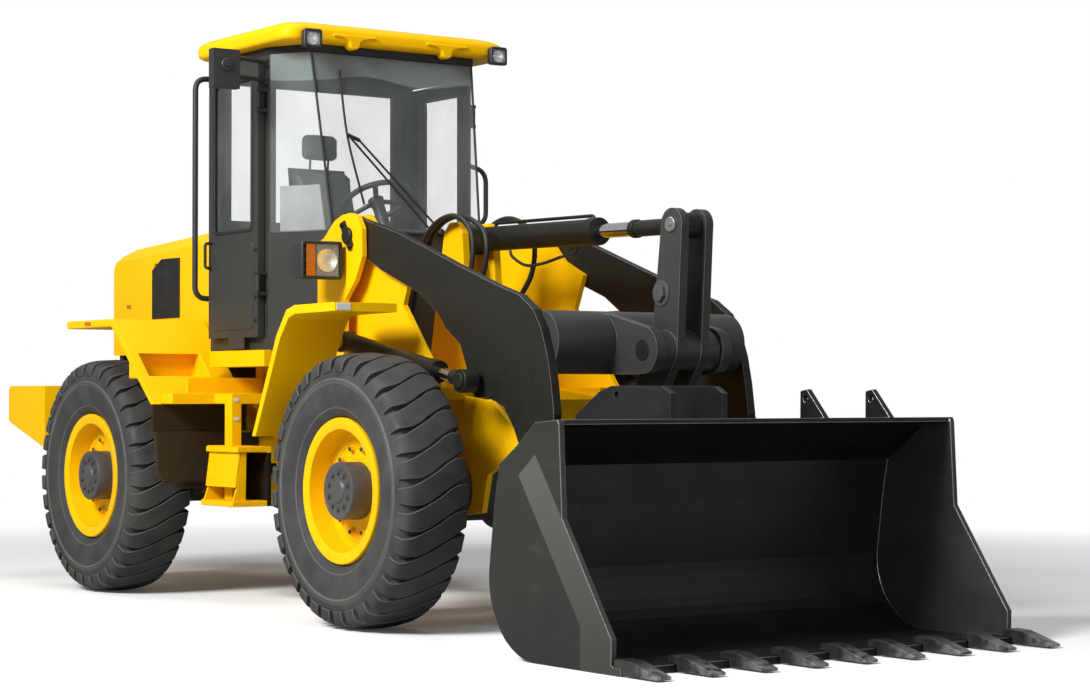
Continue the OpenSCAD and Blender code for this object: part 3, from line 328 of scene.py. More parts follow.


# Painted shade in near black for the wall behind the lower steps.
# The tank wall's colour: its own dark tone with painted shade, its brown tint a painted reflection of the
# yellow.
TANK_DARK_AND_PAINTED_SHADE, STEP_WALL_PAINTED_SHADE = (0.03, 0.02, 0.0105), (0.01, 0.0095, 0.009)
YELLOW_TONES = dict(colour=(0.92, 0.52, 0.001), shade=(0.88, 0.44, 0.001), dust=(0.62, 0.34, 0.01),
                    rough=0.42, specular=0.1)
YELLOW = painted("paint_yellow", **YELLOW_TONES)
# The fenders' paint, with the tank's dark colour and painted shade below their lip.
FENDER_YELLOW_AND_PAINTED_SHADE = painted("fender_yellow_and_painted_shade", **YELLOW_TONES, other=(TANK_DARK_AND_PAINTED_SHADE, fender_apron_dark_and_painted_shade))
# The steps' paint, with painted shade on the wall behind the lower steps.
STEP_YELLOW_AND_PAINTED_SHADE = painted("step_yellow_and_painted_shade", **YELLOW_TONES, other=(STEP_WALL_PAINTED_SHADE, step_wall_painted_shade))
DARK = painted("paint_dark", (0.0095, 0.0095, 0.0075), (0.014, 0.014, 0.0115), (0.05, 0.045, 0.036),
               0.42, 0.3)
# A lighter copy of the dark paint, painted light for the links, cross tube and bell crank.
LINK_DARK_PAINTED_LIGHT = painted("link_dark_painted_light", (0.032, 0.033, 0.03), (0.046, 0.046, 0.043), (0.06, 0.055, 0.045),
                    0.38, 0.4)
# Lighter edges on the dark parts: partly worn paint, partly a painted highlight.
DARK_EDGE_WEAR_AND_HIGHLIGHT = painted("paint_dark_edge_wear_and_highlight", (0.28, 0.28, 0.265), (0.45, 0.44, 0.42), (0.2, 0.18, 0.15), 0.33)
CHARCOAL = painted("cab_charcoal", (0.03, 0.03, 0.027), (0.037, 0.037, 0.034), (0.08, 0.072, 0.06),
                   0.45, 0.3)
GREY_METAL = painted("axle_grey", (0.03, 0.03, 0.029), (0.045, 0.043, 0.04), (0.12, 0.1, 0.075), 0.55)
# The tanks' dark paint, with painted shade and a brown tint that is a painted reflection of the yellow.
TANK_WALL_AND_PAINTED_SHADE = painted("tank_dark_and_painted_shade", TANK_DARK_AND_PAINTED_SHADE, (0.024, 0.016, 0.009), (0.07, 0.05, 0.03), 0.5, 0.25)
HUB = painted("hub_grey", (0.05, 0.05, 0.05), (0.075, 0.074, 0.07), (0.13, 0.11, 0.085), 0.45)
BUCKET = bucket_steel()
BUCKET_EDGE = bare_metal("bucket_edge", (0.3, 0.295, 0.28), 0.4)
TOOTH = tooth_steel()
CHROME = bare_metal("chrome_rod", (0.85, 0.85, 0.87), 0.1, (4, 0.2, 0.2))
BOWL = bare_metal("lamp_bowl", (0.9, 0.9, 0.9), 0.3)
STEEL = bare_metal("plain_steel", (0.5, 0.5, 0.49), 0.35)
MIRROR = bare_metal("mirror_silver", (0.85, 0.86, 0.87), 0.04)
RUBBER = tyre_rubber()
# Lighter lug edges: partly dust, partly a painted highlight.
RUBBER_EDGE_DUST_AND_HIGHLIGHT = moulded("tyre_edge_dust_and_highlight", (0.1, 0.098, 0.09), 0.7, 0.006)
HOSE = moulded("hose_rubber", (0.012, 0.012, 0.012), 0.5, 0.004)
SEAL = moulded("seal_rubber", (0.01, 0.01, 0.01), 0.6)
PLASTIC = moulded("black_plastic", (0.02, 0.02, 0.02), 0.5)
TRIM = moulded("grey_trim", (0.33, 0.35, 0.34), 0.6)
VINYL = moulded("seat_vinyl", (0.028, 0.028, 0.03), 0.55, 0.005)
GLASS = window_glass()
SCREEN = screen_glass()
CLEAR_LENS = lens("clear_lens", (0.9, 0.92, 0.92), 0.16)
AMBER_LENS = lens("amber_lens", (0.8, 0.24, 0.01), 0.6)
RED_LENS = lens("red_lens", (0.55, 0.02, 0.012), 0.9)
WHITE = moulded("white_reflector", (0.75, 0.75, 0.75), 0.3)


# Shapes

NEAR_AXIS = 0.0001
ROUND_STEPS = 6
BEVEL_ANGLE = 32
# A bolt's washer as shares of its head
WASHER_R, WASHER_H = 1.45, 0.25


def smooth_path(p, steps=8):
    """Points along a smooth curve through the given ones."""
    ends = [2 * p[0] - p[1]] + p + [2 * p[-1] - p[-2]]
    path = []
    for a, b, c, d in zip(ends, ends[1:], ends[2:], ends[3:]):
        for i in range(steps):
            t = i / steps
            path.append(0.5 * (2 * b + (c - a) * t + (2 * a - 5 * b + 4 * c - d) * t ** 2
                               + (3 * b - a - 3 * c + d) * t ** 3))
    return path + [p[-1]]


def bent_path(p, radius):
    """Points along straight runs joined by bends."""
    path = [p[0]]
    for a, b, c in zip(p, p[1:], p[2:]):
        into, out = (b - a).normalized(), (c - b).normalized()
        start, end = b - into * radius, b + out * radius
        for i in range(ROUND_STEPS + 1):
            t = i / ROUND_STEPS
            path.append((1 - t) ** 2 * start + 2 * t * (1 - t) * b + t ** 2 * end)
    return path + [p[-1]]


def rounded(low, high, radius, place, inset=0.0):
    """A rectangle with round corners, less an inset, put in space by place(u, v)."""
    reach = radius + inset
    (u0, v0), (u1, v1) = low, high
    corners = ((u1 - reach, v1 - reach), (u0 + reach, v1 - reach),
               (u0 + reach, v0 + reach), (u1 - reach, v0 + reach))
    ring = []
    for turn, (u, v) in enumerate(corners):
        for i in range(ROUND_STEPS + 1):
            a = math.pi / 2 * (turn + i / ROUND_STEPS)
            ring.append(place(u + radius * math.cos(a), v + radius * math.sin(a)))
    return ring


class Form:
    """Gathers solids into one mesh piece."""

    def __init__(self):
        self.bm = bmesh.new()

    def join(self, rings, round_ring, loop):
        """Faces between neighbouring rings."""
        made = [[self.bm.verts.new(p) for p in ring] for ring in rings]
        for a, b in list(zip(made, made[1:])) + ([(made[-1], made[0])] if loop else []):
            n = len(a)
            for i in range(n if round_ring else n - 1):
                m = (i + 1) % n
                self.bm.faces.new((a[i], a[m], b[m], b[i]))
        return made

    def loft(self, rings):
        """A closed solid through rings that have the same number of points."""
        made = self.join(rings, True, False)
        self.bm.faces.new(list(reversed(made[0])))
        self.bm.faces.new(made[-1])

    def box(self, low, high):
        (x0, y0, z0), (x1, y1, z1) = low, high
        ring = [(x0, y0), (x1, y0), (x1, y1), (x0, y1)]
        self.loft([[Vector((x, y, z)) for x, y in ring] for z in (z0, z1)])

    def prism(self, outline, y0, y1):
        """A plate from a side view outline of [x, z] points in the layout."""
        self.loft([[at(x, y, z) for x, z in outline] for y in (y0, y1)])

    def slab(self, c, thickness):
        """A plate from a flat outline in space, thickened along its normal."""
        normal = (c[1] - c[0]).cross(c[2] - c[0]).normalized() * thickness
        self.loft([c, [v + normal for v in c]])

    def lathe(self, profile, centre, axis, steps, closed=False):
        """Turns [radius, distance along the axis] points about an axis."""
        side = axis.orthogonal().normalized()
        other = axis.cross(side)
        rings = []
        for i in range(steps):
            a = 2 * math.pi * i / steps
            out = side * math.cos(a) + other * math.sin(a)
            rings.append([centre + axis * d + out * r for r, d in profile])
        self.join(rings, closed, True)

    def tube(self, p, radius, sides):
        """A round bar along a path."""
        runs = [(b - a).normalized() for a, b in zip(p, p[1:])]
        ways = [runs[0]] + [(a + b).normalized() for a, b in zip(runs, runs[1:])] + [runs[-1]]
        side = ways[0].orthogonal().normalized()
        turns = [2 * math.pi * i / sides for i in range(sides)]
        rings = []
        for point, way in zip(p, ways):
            side = (side - way * side.dot(way)).normalized()
            other = way.cross(side)
            rings.append([point + (side * math.cos(t) + other * math.sin(t)) * radius for t in turns])
        self.loft(rings)

    def bolt(self, centre, normal, radius, height):
        """A hexagon head on a round washer."""
        self.tube([centre, centre + normal * height * WASHER_H], radius * WASHER_R, 20)
        self.tube([centre, centre + normal * height], radius, 6)

    def disc(self, centre, normal, radius, height, sides=32):
        """A low round cap with a chamfered rim."""
        c = min(radius, height) * 0.35
        rim = [(radius, 0), (radius, height - c), (radius - c, height)]
        self.lathe([(NEAR_AXIS, 0)] + rim + [(NEAR_AXIS, height)], centre, normal, sides)

    def piece(self, name, material, body="rear_frame", slot="trim_plastic", bevel=0.0, smooth=38,
              segments=2, edge=None):
        """Makes what was gathered one object that rides on a body."""
        bmesh.ops.remove_doubles(self.bm, verts=self.bm.verts, dist=1e-6)
        bmesh.ops.recalc_face_normals(self.bm, faces=self.bm.faces)
        mesh = bpy.data.meshes.new(name)
        self.bm.to_mesh(mesh)
        self.bm.free()
        mesh.shade_smooth()
        mesh.set_sharp_from_angle(angle=math.radians(smooth))
        obj = linked(name, mesh)
        mesh.materials.append(material)
        if bevel:
            round_edges(obj, bevel, segments, edge)
        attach(obj, body)
        return obj


def round_edges(obj, width, segments, edge_material, angle=BEVEL_ANGLE):
    """Bevels the sharp edges, with a material of its own on the bevel where one is given."""
    bevel = obj.modifiers.new("round_edges", "BEVEL")
    bevel.width = width
    bevel.segments = segments
    bevel.limit_method = "ANGLE"
    bevel.angle_limit = math.radians(angle)
    if edge_material:
        obj.data.materials.append(edge_material)
        bevel.material = len(obj.data.materials) - 1
    weighted = obj.modifiers.new("flat_faces", "WEIGHTED_NORMAL")
    weighted.keep_sharp = True


def dress(names, material, bevel, edge=None, angle=BEVEL_ANGLE):
    """Gives CAD nodes a finish and softened edges."""
    for name in names.split():
        obj = frame["nodes"][name]
        obj.data.materials.clear()
        obj.data.materials.append(material)
        if bevel:
            weld = obj.modifiers.new("join_faces", "WELD")
            weld.merge_threshold = 1e-5
            round_edges(obj, bevel, 2, edge, angle)


# Finishes of the CAD solids

dress("rear_chassis rear_pivot cab_frame front_chassis front_pivot tilt_bracket towers", YELLOW, 0.005)
dress("counterweight", YELLOW, 0.004)
# The wall behind the lower steps gets painted shade.
dress("access_steps", STEP_YELLOW_AND_PAINTED_SHADE, 0.006)
dress("front_fenders hood", YELLOW, 0.007)
# Below their lip the fenders get the tank's dark colour with painted shade.
dress("rear_fenders", FENDER_YELLOW_AND_PAINTED_SHADE, 0.007)
dress("rim_front_right rim_front_left rim_rear_right rim_rear_left", YELLOW, 0.004)
# The bevels of the dark parts carry worn paint and a painted highlight.
dress("arms", DARK, 0.008, DARK_EDGE_WEAR_AND_HIGHLIGHT)
# The links, cross tube and bell crank get the lighter copy of the dark paint as painted light.
dress("cross_tube bellcrank bucket_link", LINK_DARK_PAINTED_LIGHT, 0.006, DARK_EDGE_WEAR_AND_HIGHLIGHT)
dress("tilt_barrel lift_barrels steer_barrel_right steer_barrel_left rear_grille", DARK, 0.003)
dress("tilt_rod lift_rods steer_rod_right steer_rod_left", CHROME, 0.003)
dress("bucket", BUCKET, 0.003, BUCKET_EDGE, 60)
dress("bucket_ears", BUCKET, 0.003, BUCKET_EDGE)
dress("bucket_teeth", TOOTH, 0.004)
dress("cab_shell door_right door_left", CHARCOAL, 0.006)
dress("windscreen", SCREEN, 0)
dress("cab_glass door_glass_right door_glass_left", GLASS, 0)
dress("front_axle rear_axle engine_block exhaust", GREY_METAL, 0.006)
# The tanks' dark colour carries painted shade and a painted reflection of the yellow.
dress("tank_boxes", TANK_WALL_AND_PAINTED_SHADE, 0.008)
dress("console side_mirror", PLASTIC, 0.005)
dress("rear_lamps", RED_LENS, 0.006)


# Wheels

LUG_COUNT, LUG_DEPTH, LUG_SLANT, LUG_HALF_W = 33, 0.03, 0.1, 0.17
LUG_FOOT, LUG_DRAFT = LUG_DEPTH + 0.004, 0.003
# Grooves between the lugs, wider at the shoulders and in the middle
GROOVE_W, GROOVE_FLARE, FLARE_FROM, FLARE_TO = 0.011, 0.03, 0.07, 0.18
GROOVE_MIDDLE, GROOVE_MIDDLE_W = 0.008, 0.03
# Outer half of the tread, as [distance from the centre plane, radius]
TREAD = [(0.0, 0.675), (0.05, 0.674), (0.1, 0.669), (0.14, 0.661), (0.166, 0.649), (0.179, 0.631),
         (0.1845, 0.607), (0.1855, 0.583)]
# Half of the carcass from the bead to the shoulder, as [radius, distance from the centre plane]
SIDEWALL = [(0.334, 0.112), (0.334, 0.1305), (0.36, 0.1305), (0.368, 0.146), (0.392, 0.163), (0.4, 0.1675),
            (0.404, 0.1712), (0.412, 0.1712), (0.416, 0.1725), (0.45, 0.182), (0.5, 0.1848), (0.526, 0.1845),
            (0.531, 0.1885), (0.543, 0.1885), (0.548, 0.183), (0.575, 0.179), (0.6, 0.168), (0.62, 0.155)]
# Turned fittings, as [radius, distance out from the centre plane]
HUB_CAP = [(0.139, 0.03), (0.1415, 0.05), (0.1415, 0.156), (0.137, 0.1635), (0.124, 0.166), (0.119, 0.1625),
           (0.06, 0.1625), (0.054, 0.171), (0.04, 0.175), (NEAR_AXIS, 0.175)]
RIM_LIP = [(0.301, 0.1505), (0.306, 0.1545), (0.335, 0.1545), (0.345, 0.1585), (0.354, 0.157),
           (0.3575, 0.151)]
RIM_BEAD = [(0.24, 0.0455), (0.243, 0.049), (0.252, 0.049), (0.255, 0.0455)]
# Rings of fasteners, as [count, radius of the ring, distance out from the centre plane]
HUB_BOLTS, WHEEL_NUTS, WHEEL_STUDS = (10, 0.09, 0.1615), (12, 0.21, 0.045), (12, 0.21, 0.0625)


def tread_normals(points):
    """Outward normals of the tread line in the plane of distance and radius."""
    normals = []
    for i in range(len(points)):
        a, b = points[max(i - 1, 0)], points[min(i + 1, len(points) - 1)]
        d = Vector((b[0] - a[0], b[1] - a[1])).normalized()
        normals.append(Vector((-d.y, d.x)))
    return normals


def groove(y):
    """Width of the groove between two lugs at a distance from the centre plane."""
    middle = GROOVE_MIDDLE * math.exp(-(y / GROOVE_MIDDLE_W) ** 2)
    return GROOVE_W + GROOVE_FLARE * eased(FLARE_FROM, FLARE_TO, abs(y)) + middle


def lug(turn, line, normals, place):
    """Rings of one lug across the tread, put in space by place(angle, radius, across)."""
    pitch = 2 * math.pi / LUG_COUNT
    rings = []
    for (y, r), normal in zip(line, normals):
        start = turn + LUG_SLANT * math.sin(math.pi / 2 * max(-1.0, min(1.0, y / LUG_HALF_W)))
        ring = []
        for first, sink in ((True, LUG_FOOT), (True, 0.0), (False, 0.0), (False, LUG_FOOT)):
            inset = groove(y) / 2 - (LUG_DRAFT if sink else 0.0)
            angle = start + (inset / r if first else pitch - inset / r)
            ring.append(place(angle, r - normal.y * sink, y - normal.x * sink))
        rings.append(ring)
    return rings


def tyre(wheel, side):
    """A carcass with curved lugs across its tread."""
    centre = JOINT_AT[wheel + "_spin"]

    def place(angle, radius, across):
        return centre + Vector((radius * math.cos(angle), -side * across, radius * math.sin(angle)))

    form = Form()
    half = SIDEWALL + [(r - LUG_DEPTH, y) for y, r in reversed(TREAD[:4])]
    form.lathe(half + [(r, -y) for r, y in reversed(half)], centre, Y_AXIS, 96, closed=True)
    line = [(-y, r) for y, r in reversed(TREAD)] + TREAD[1:]
    normals = tread_normals(line)
    for i in range(LUG_COUNT):
        form.loft(lug(i * 2 * math.pi / LUG_COUNT, line, normals, place))
    name = "tyre_tread_" + wheel
    # The lug edges get a lighter colour: dust and a painted highlight.
    obj = form.piece(name, RUBBER, wheel, "tyre_rubber", bevel=0.004, smooth=32, edge=RUBBER_EDGE_DUST_AND_HIGHLIGHT)
    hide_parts(wheel.replace("wheel", "tyre"))


def fastener_spots(centre, out, count, radius, far):
    """Places in a ring about a wheel's axis."""
    for i in range(count):
        a = 2 * math.pi * (i + 0.5) / count
        yield centre + Vector((radius * math.cos(a), 0, radius * math.sin(a))) + out * far


def wheel_fittings(wheel, side):
    """The hub with its bolted cap, the wheel nuts and studs, and the lip of the rim."""
    centre, out = JOINT_AT[wheel + "_spin"], outward(side)
    hub, nuts, studs, lip = Form(), Form(), Form(), Form()
    hub.lathe(HUB_CAP, centre, out, 64)
    for spot in fastener_spots(centre, out, *HUB_BOLTS):
        hub.bolt(spot, out, 0.0105, 0.012)
    hub.piece("hub_" + wheel, HUB, wheel, "axle_grey", smooth=40)
    for spot in fastener_spots(centre, out, *WHEEL_NUTS):
        nuts.bolt(spot, out, 0.016, 0.018)
    nuts.piece("wheel_nuts_" + wheel, YELLOW, wheel, "paint_yellow", smooth=30)
    for spot in fastener_spots(centre, out, *WHEEL_STUDS):
        studs.disc(spot, out, 0.0105, 0.009, 16)
    studs.piece("wheel_studs_" + wheel, GREY_METAL, wheel, "axle_grey", smooth=30)
    lip.lathe(RIM_LIP, centre, out, 96)
    lip.lathe(RIM_BEAD, centre, out, 64)
    lip.piece("rim_lip_" + wheel, YELLOW, wheel, "paint_yellow", smooth=40)


for end in ("front", "rear"):
    for hand, side in SIDES.items():
        tyre("wheel_%s_%s" % (end, hand), side)
        wheel_fittings("wheel_%s_%s" % (end, hand), side)


# Cab roof and lamps

ROOF_LOW, ROOF_HIGH, ROOF_CORNER = (-0.84, -0.73), (0.245, 0.73), 0.1
# Rings of the roof from its underside up to its crown, as [inset, height]
ROOF_RINGS = [(0.05, 3.0515), (0.02, 3.053), (0.006, 3.062), (0.0, 3.076), (0.0, 3.11), (0.006, 3.127),
              (0.02, 3.142), (0.045, 3.155), (0.085, 3.167), (0.15, 3.177), (0.25, 3.183)]
NECK_PLAN = [(-0.749, -0.653), (-0.075, -0.653), (0.18, -0.522), (0.18, 0.522), (-0.075, 0.653),
             (-0.749, 0.653)]
NECK_Z = (3.0105, 3.052)
FINGER_X, FINGER_Y, FINGER_Z = (0.19, 0.259), 0.3, 3.06
FINGER_R, FINGER_ROOT, FINGER_RISE, FINGER_TOP = 0.034, 0.1, 0.03, 0.045
# On the left side, as [low corner, high corner]
ROOF_LAMP = ((0.246, 0.546, 3.006), (0.329, 0.659, 3.109))
HEAD_LAMP = ((0.547, 0.666, 1.741), (0.745, 0.909, 1.939))
HEAD_STALK = ((0.606, 0.6405, 1.801), (0.666, 0.668, 1.879))
# Right head lamp, as [start, end, material], in shares of its width
HEAD_LENSES = [(0.07, 0.33, AMBER_LENS), (0.36, 0.97, CLEAR_LENS)]
LAMP_RIM, LAMP_CORNER, LAMP_HOLLOW, LENS_GAP = 0.013, 0.016, 0.024, 0.002
# Behind a lamp's front
LENS_BACK, LENS_FRONT, BOWL_MOUTH = 0.0105, 0.006, 0.011
# A bowl with its bulb, as [share of its radius, distance ahead of its mouth]
BOWL_PROFILE = [(0.2, -0.004), (0.22, -0.0115), (0.5, -0.0095), (0.85, -0.004), (1.0, -0.001), (1.0, -0.0125)]
BULB_TIP, BOWL_SHARE = (0.001, -0.003), 0.46


def finger_outline():
    """Half of a roof finger from its tip to its root, and its mirror image."""
    turns = [math.pi / 12 * i for i in range(7)]
    half = [(FINGER_R * math.sin(a), -FINGER_R * math.cos(a)) for a in turns]
    half += [(FINGER_R + FINGER_ROOT * (1 - math.cos(a)), FINGER_RISE * math.sin(a)) for a in turns[1:]]
    half += [(FINGER_R + FINGER_ROOT, FINGER_TOP)]
    return half + [(-y, z) for y, z in reversed(half[1:])]


def cab_roof():
    """The crowned roof with its rolled lip and two fingers, on a dark neck."""
    roof, neck = Form(), Form()
    roof.loft([rounded(ROOF_LOW, ROOF_HIGH, ROOF_CORNER, lambda x, y: at(x, y, z), inset)
               for inset, z in ROOF_RINGS])
    outline = finger_outline()
    for side in BOTH_SIDES:
        roof.loft([[at(x, side * FINGER_Y + y, FINGER_Z + z) for y, z in outline] for x in FINGER_X])
    obj = roof.piece("roof_panel", YELLOW, "rear_frame", "paint_yellow", bevel=0.007, smooth=50)
    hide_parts("cab_roof")
    neck.loft([[at(x, y, z) for x, y in NECK_PLAN] for z in NECK_Z])
    neck.piece("roof_neck", SEAL, bevel=0.004)


def lamp_housing(name, low, high, body, stalk):
    """The housing of a lamp that faces forwards, hollow at its front."""
    (x0, y0, z0), (x1, y1, z1) = low, high
    housing = Form()
    sections = ((x0, 0.03), (mixed(x0, x1, 0.5), 0.003), (x1 - 0.006, 0.0), (x1 - 0.001, 0.004),
                (x1 - 0.001, LAMP_RIM), (x1 - LAMP_HOLLOW, LAMP_RIM + LENS_GAP))
    housing.loft([rounded((y0, z0), (y1, z1), LAMP_CORNER, lambda y, z: at(x, y, z), inset)
                  for x, inset in sections])
    if stalk:
        housing.box(at(*stalk[0]), at(*stalk[1]))
    return housing.piece("lamp_housing_" + name, PLASTIC, body, "lamp_plastic", smooth=35)


def lamp(name, box, body, lenses, stalk=None):
    """A lamp with lenses and bowls behind them."""
    low, high = box
    shell = lamp_housing(name, low, high, body, stalk)
    front, inset = high[0], LAMP_RIM + LENS_GAP
    y_low, y_high = low[1] + inset, high[1] - inset
    z_low, z_high = low[2] + inset, high[2] - inset
    bowls = Form()
    for i, (start, end, material) in enumerate(lenses):
        left, right = mixed(y_low, y_high, start), mixed(y_low, y_high, end)
        glass = Form()
        glass.box(at(front - LENS_BACK, left, z_low), at(front - LENS_FRONT, right, z_high))
        glass.piece("lamp_lens_%s_%d" % (name, i), material, body, "lamp_plastic", bevel=0.002)
        count = round((z_high - z_low) / (right - left))
        radius = min(right - left, (z_high - z_low) / count) * BOWL_SHARE
        profile = [BULB_TIP] + [(share * radius, ahead) for share, ahead in BOWL_PROFILE]
        for k in range(count):
            height = mixed(z_low, z_high, (k + 0.5) / count)
            bowls.lathe(profile, at(front - BOWL_MOUTH, mixed(left, right, 0.5), height), X_AXIS, 32)
    bowls.piece("lamp_reflector_" + name, BOWL, body, "lamp_plastic")
    return shell


cab_roof()
for hand, side in SIDES.items():
    shell = lamp("roof_" + hand, on_side(ROOF_LAMP, side), "rear_frame", [(0, 1, CLEAR_LENS)])
    if hand == "right":
        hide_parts("roof_lamps")
    lenses = HEAD_LENSES if side < 0 else [(1 - end, 1 - start, m) for start, end, m in HEAD_LENSES]
    stalk = on_side(HEAD_STALK, side)
    shell = lamp("head_" + hand, on_side(HEAD_LAMP, side), "front_frame", lenses, stalk)
    if hand == "right":
        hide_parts("head_lamps")


# Cab fittings

SCREEN_FOOT, SCREEN_HEAD = (0.320, 0.476, 2.03), (0.160, 0.522, 3.008)
SCREEN_OUT = Vector((1, 0, 0.163)).normalized()
# Points on the windscreen: the blade from its top, and the arms as [end at the blade, pivot]
WIPER_BLADE = ((0.175, -0.36, 2.916), (0.235, -0.345, 2.552), (0.296, -0.274, 2.176))
WIPER_ARMS = (((0.235, -0.345, 2.552), (0.319, 0.142, 2.04)),
              ((0.238, -0.283, 2.533), (0.319, 0.206, 2.04)))
WIPER_YOKE = ((0.235, -0.35, 2.556), (0.238, -0.275, 2.529))
WIPER_LIFT = SCREEN_OUT * 0.014
DASH_OUTLINE, DASH_HALF_W = [(0.05, 1.9), (0.262, 1.9), (0.285, 2.0), (0.27, 2.045), (0.2, 2.065),
                             (0.08, 2.055), (0.04, 2.0)], 0.42
SIDE_TRIM = [(-0.03, -0.6, 2.035), (0.25, -0.476, 2.035), (0.21, -0.49, 2.285), (-0.03, -0.6, 2.285)]
# The mirror's glass as [y, z] with its two faces, and its clamp
MIRROR_LOW, MIRROR_HIGH, MIRROR_FACES = (-1.05, 2.8), (-0.91, 2.99), (0.0005, -0.002)
MIRROR_BOSS, MIRROR_BOLT = (0.0545, -0.98, 2.915), (0.066, -0.98, 2.915)
RAIL_X, RAIL_BASE_Y, RAIL_FOOT_Y, RAIL_OUT_Y, RAIL_Z = -0.72, 0.6545, 0.656, 0.77, (1.69, 2.94)
RAIL_BEND = 0.07
# The short rail at the left front corner, as [y, z]
LEFT_RAIL_X, LEFT_RAIL = -0.05, ((0.64, 2.12), (0.765, 2.135), (0.765, 2.44), (0.64, 2.47))
# On a door's outer face, as [x, z]
DOOR_Y = 0.7
DOOR_PANEL, DOOR_WINDOW = ((-0.65, 1.5), (-0.165, 1.99)), ((-0.62, 2.05), (-0.179, 2.895))
DOOR_TAB, DOOR_TAB_T, DOOR_CORNER = ((-0.45, 1.397), (-0.27, 1.465)), 0.008, 0.03
# Steps of the pressed panel, as [inset, height]
PANEL_STEPS = ((0.0, -0.001), (0.004, 0.005), (0.012, 0.006))
HANDLE_X, HANDLE_OUT, HANDLE_Z = -0.655, 0.04, (1.86, 2.0)
DOOR_BOLT_X, DOOR_BOLTS_Z = -0.135, (1.55, 1.68, 1.81, 1.94)


def windscreen_trim():
    """Rubber seams beside and below the front pane, and a wiper with two arms."""
    seams, wiper = Form(), Form()
    for side in BOTH_SIDES:
        seams.tube([at(x, side * y, z) for x, y, z in (SCREEN_FOOT, SCREEN_HEAD)], 0.007, 10)
    seams.tube([at(SCREEN_FOOT[0], side * SCREEN_FOOT[1], SCREEN_FOOT[2]) for side in BOTH_SIDES], 0.008, 10)
    seams.piece("windscreen_seams", SEAL)
    wiper.tube(smooth_path([at(*p) + WIPER_LIFT for p in WIPER_BLADE], 6), 0.0065, 8)
    for start, end in WIPER_ARMS:
        wiper.tube([at(*p) + WIPER_LIFT * 1.8 for p in (start, end)], 0.006, 8)
        wiper.disc(at(*end), SCREEN_OUT, 0.02, 0.034, 20)
    wiper.tube([at(*p) + WIPER_LIFT * 1.5 for p in WIPER_YOKE], 0.011, 10)
    wiper.piece("windscreen_wiper", SEAL)


def cab_interior():
    """The dash behind the windscreen and a pale side panel."""
    dash, panel = Form(), Form()
    dash.prism(DASH_OUTLINE, -DASH_HALF_W, DASH_HALF_W)
    dash.piece("dash_top", PLASTIC, bevel=0.012, segments=3)
    panel.slab([at(*p) for p in SIDE_TRIM], 0.012)
    panel.piece("side_trim", TRIM, bevel=0.005)


def mirror_trim():
    """Mirror glass on the rear face, and the boss and bolt of its clamp."""
    glass, boss = Form(), Form()
    glass.loft([rounded(MIRROR_LOW, MIRROR_HIGH, 0.015, lambda y, z: at(x, y, z)) for x in MIRROR_FACES])
    glass.piece("mirror_glass", MIRROR, "rear_frame", "window_glass")
    boss.disc(at(*MIRROR_BOSS), X_AXIS, 0.035, 0.012)
    boss.bolt(at(*MIRROR_BOLT), X_AXIS, 0.013, 0.01)
    boss.piece("mirror_boss", PLASTIC)


def hand_rails():
    """A tall rail behind each door, and a short one at the left front corner."""
    rails = Form()
    low, high = RAIL_Z
    corners = ((RAIL_FOOT_Y, low), (RAIL_OUT_Y, low), (RAIL_OUT_Y, high), (RAIL_FOOT_Y, high))
    for side in BOTH_SIDES:
        rails.tube(bent_path([at(RAIL_X, side * y, z) for y, z in corners], RAIL_BEND), 0.016, 16)
        for z in RAIL_Z:
            rails.disc(at(RAIL_X, side * RAIL_BASE_Y, z), outward(side), 0.034, 0.01, 24)
    rails.tube(bent_path([at(LEFT_RAIL_X, y, z) for y, z in LEFT_RAIL], RAIL_BEND), 0.014, 16)
    obj = rails.piece("grab_rails", PLASTIC)
    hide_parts("handrails")


def door_trim(hand, side):
    """A door's pressed lower panel, bottom tab, window seal, handle and bolts."""
    body, y = "door_" + hand, side * DOOR_Y
    panel, fittings = Form(), Form()
    panel.loft([rounded(*DOOR_PANEL, DOOR_CORNER, lambda x, z: at(x, y + side * high, z), inset)
                for inset, high in PANEL_STEPS])
    (x0, z0), (x1, z1) = DOOR_TAB
    panel.box(at(x0, y - side * DOOR_TAB_T, z0), at(x1, y, z1))
    panel.piece("door_panel_" + hand, CHARCOAL, body, "cab_charcoal", bevel=0.002)
    seal = rounded(*DOOR_WINDOW, DOOR_CORNER, lambda x, z: at(x, y, z))
    fittings.tube(seal + seal[:1], 0.009, 8)
    low, high = HANDLE_Z
    grip = ((0, low), (HANDLE_OUT, low), (HANDLE_OUT, high), (0, high))
    fittings.tube(bent_path([at(HANDLE_X, y + side * out, z) for out, z in grip], 0.02), 0.009, 10)
    for z in DOOR_BOLTS_Z:
        fittings.bolt(at(DOOR_BOLT_X, y, z), outward(side), 0.009, 0.008)
    fittings.piece("door_fittings_" + hand, SEAL, body, "trim_plastic")


windscreen_trim()
cab_interior()
mirror_trim()
hand_rails()
for hand, side in SIDES.items():
    door_trim(hand, side)


# Seat

PAD_VOXEL, PAD_FRAMES, PAD_PRESSURE, PAD_MOVE, PAD_CORNER = 0.007, 20, 4.0, 0.022, 0.05
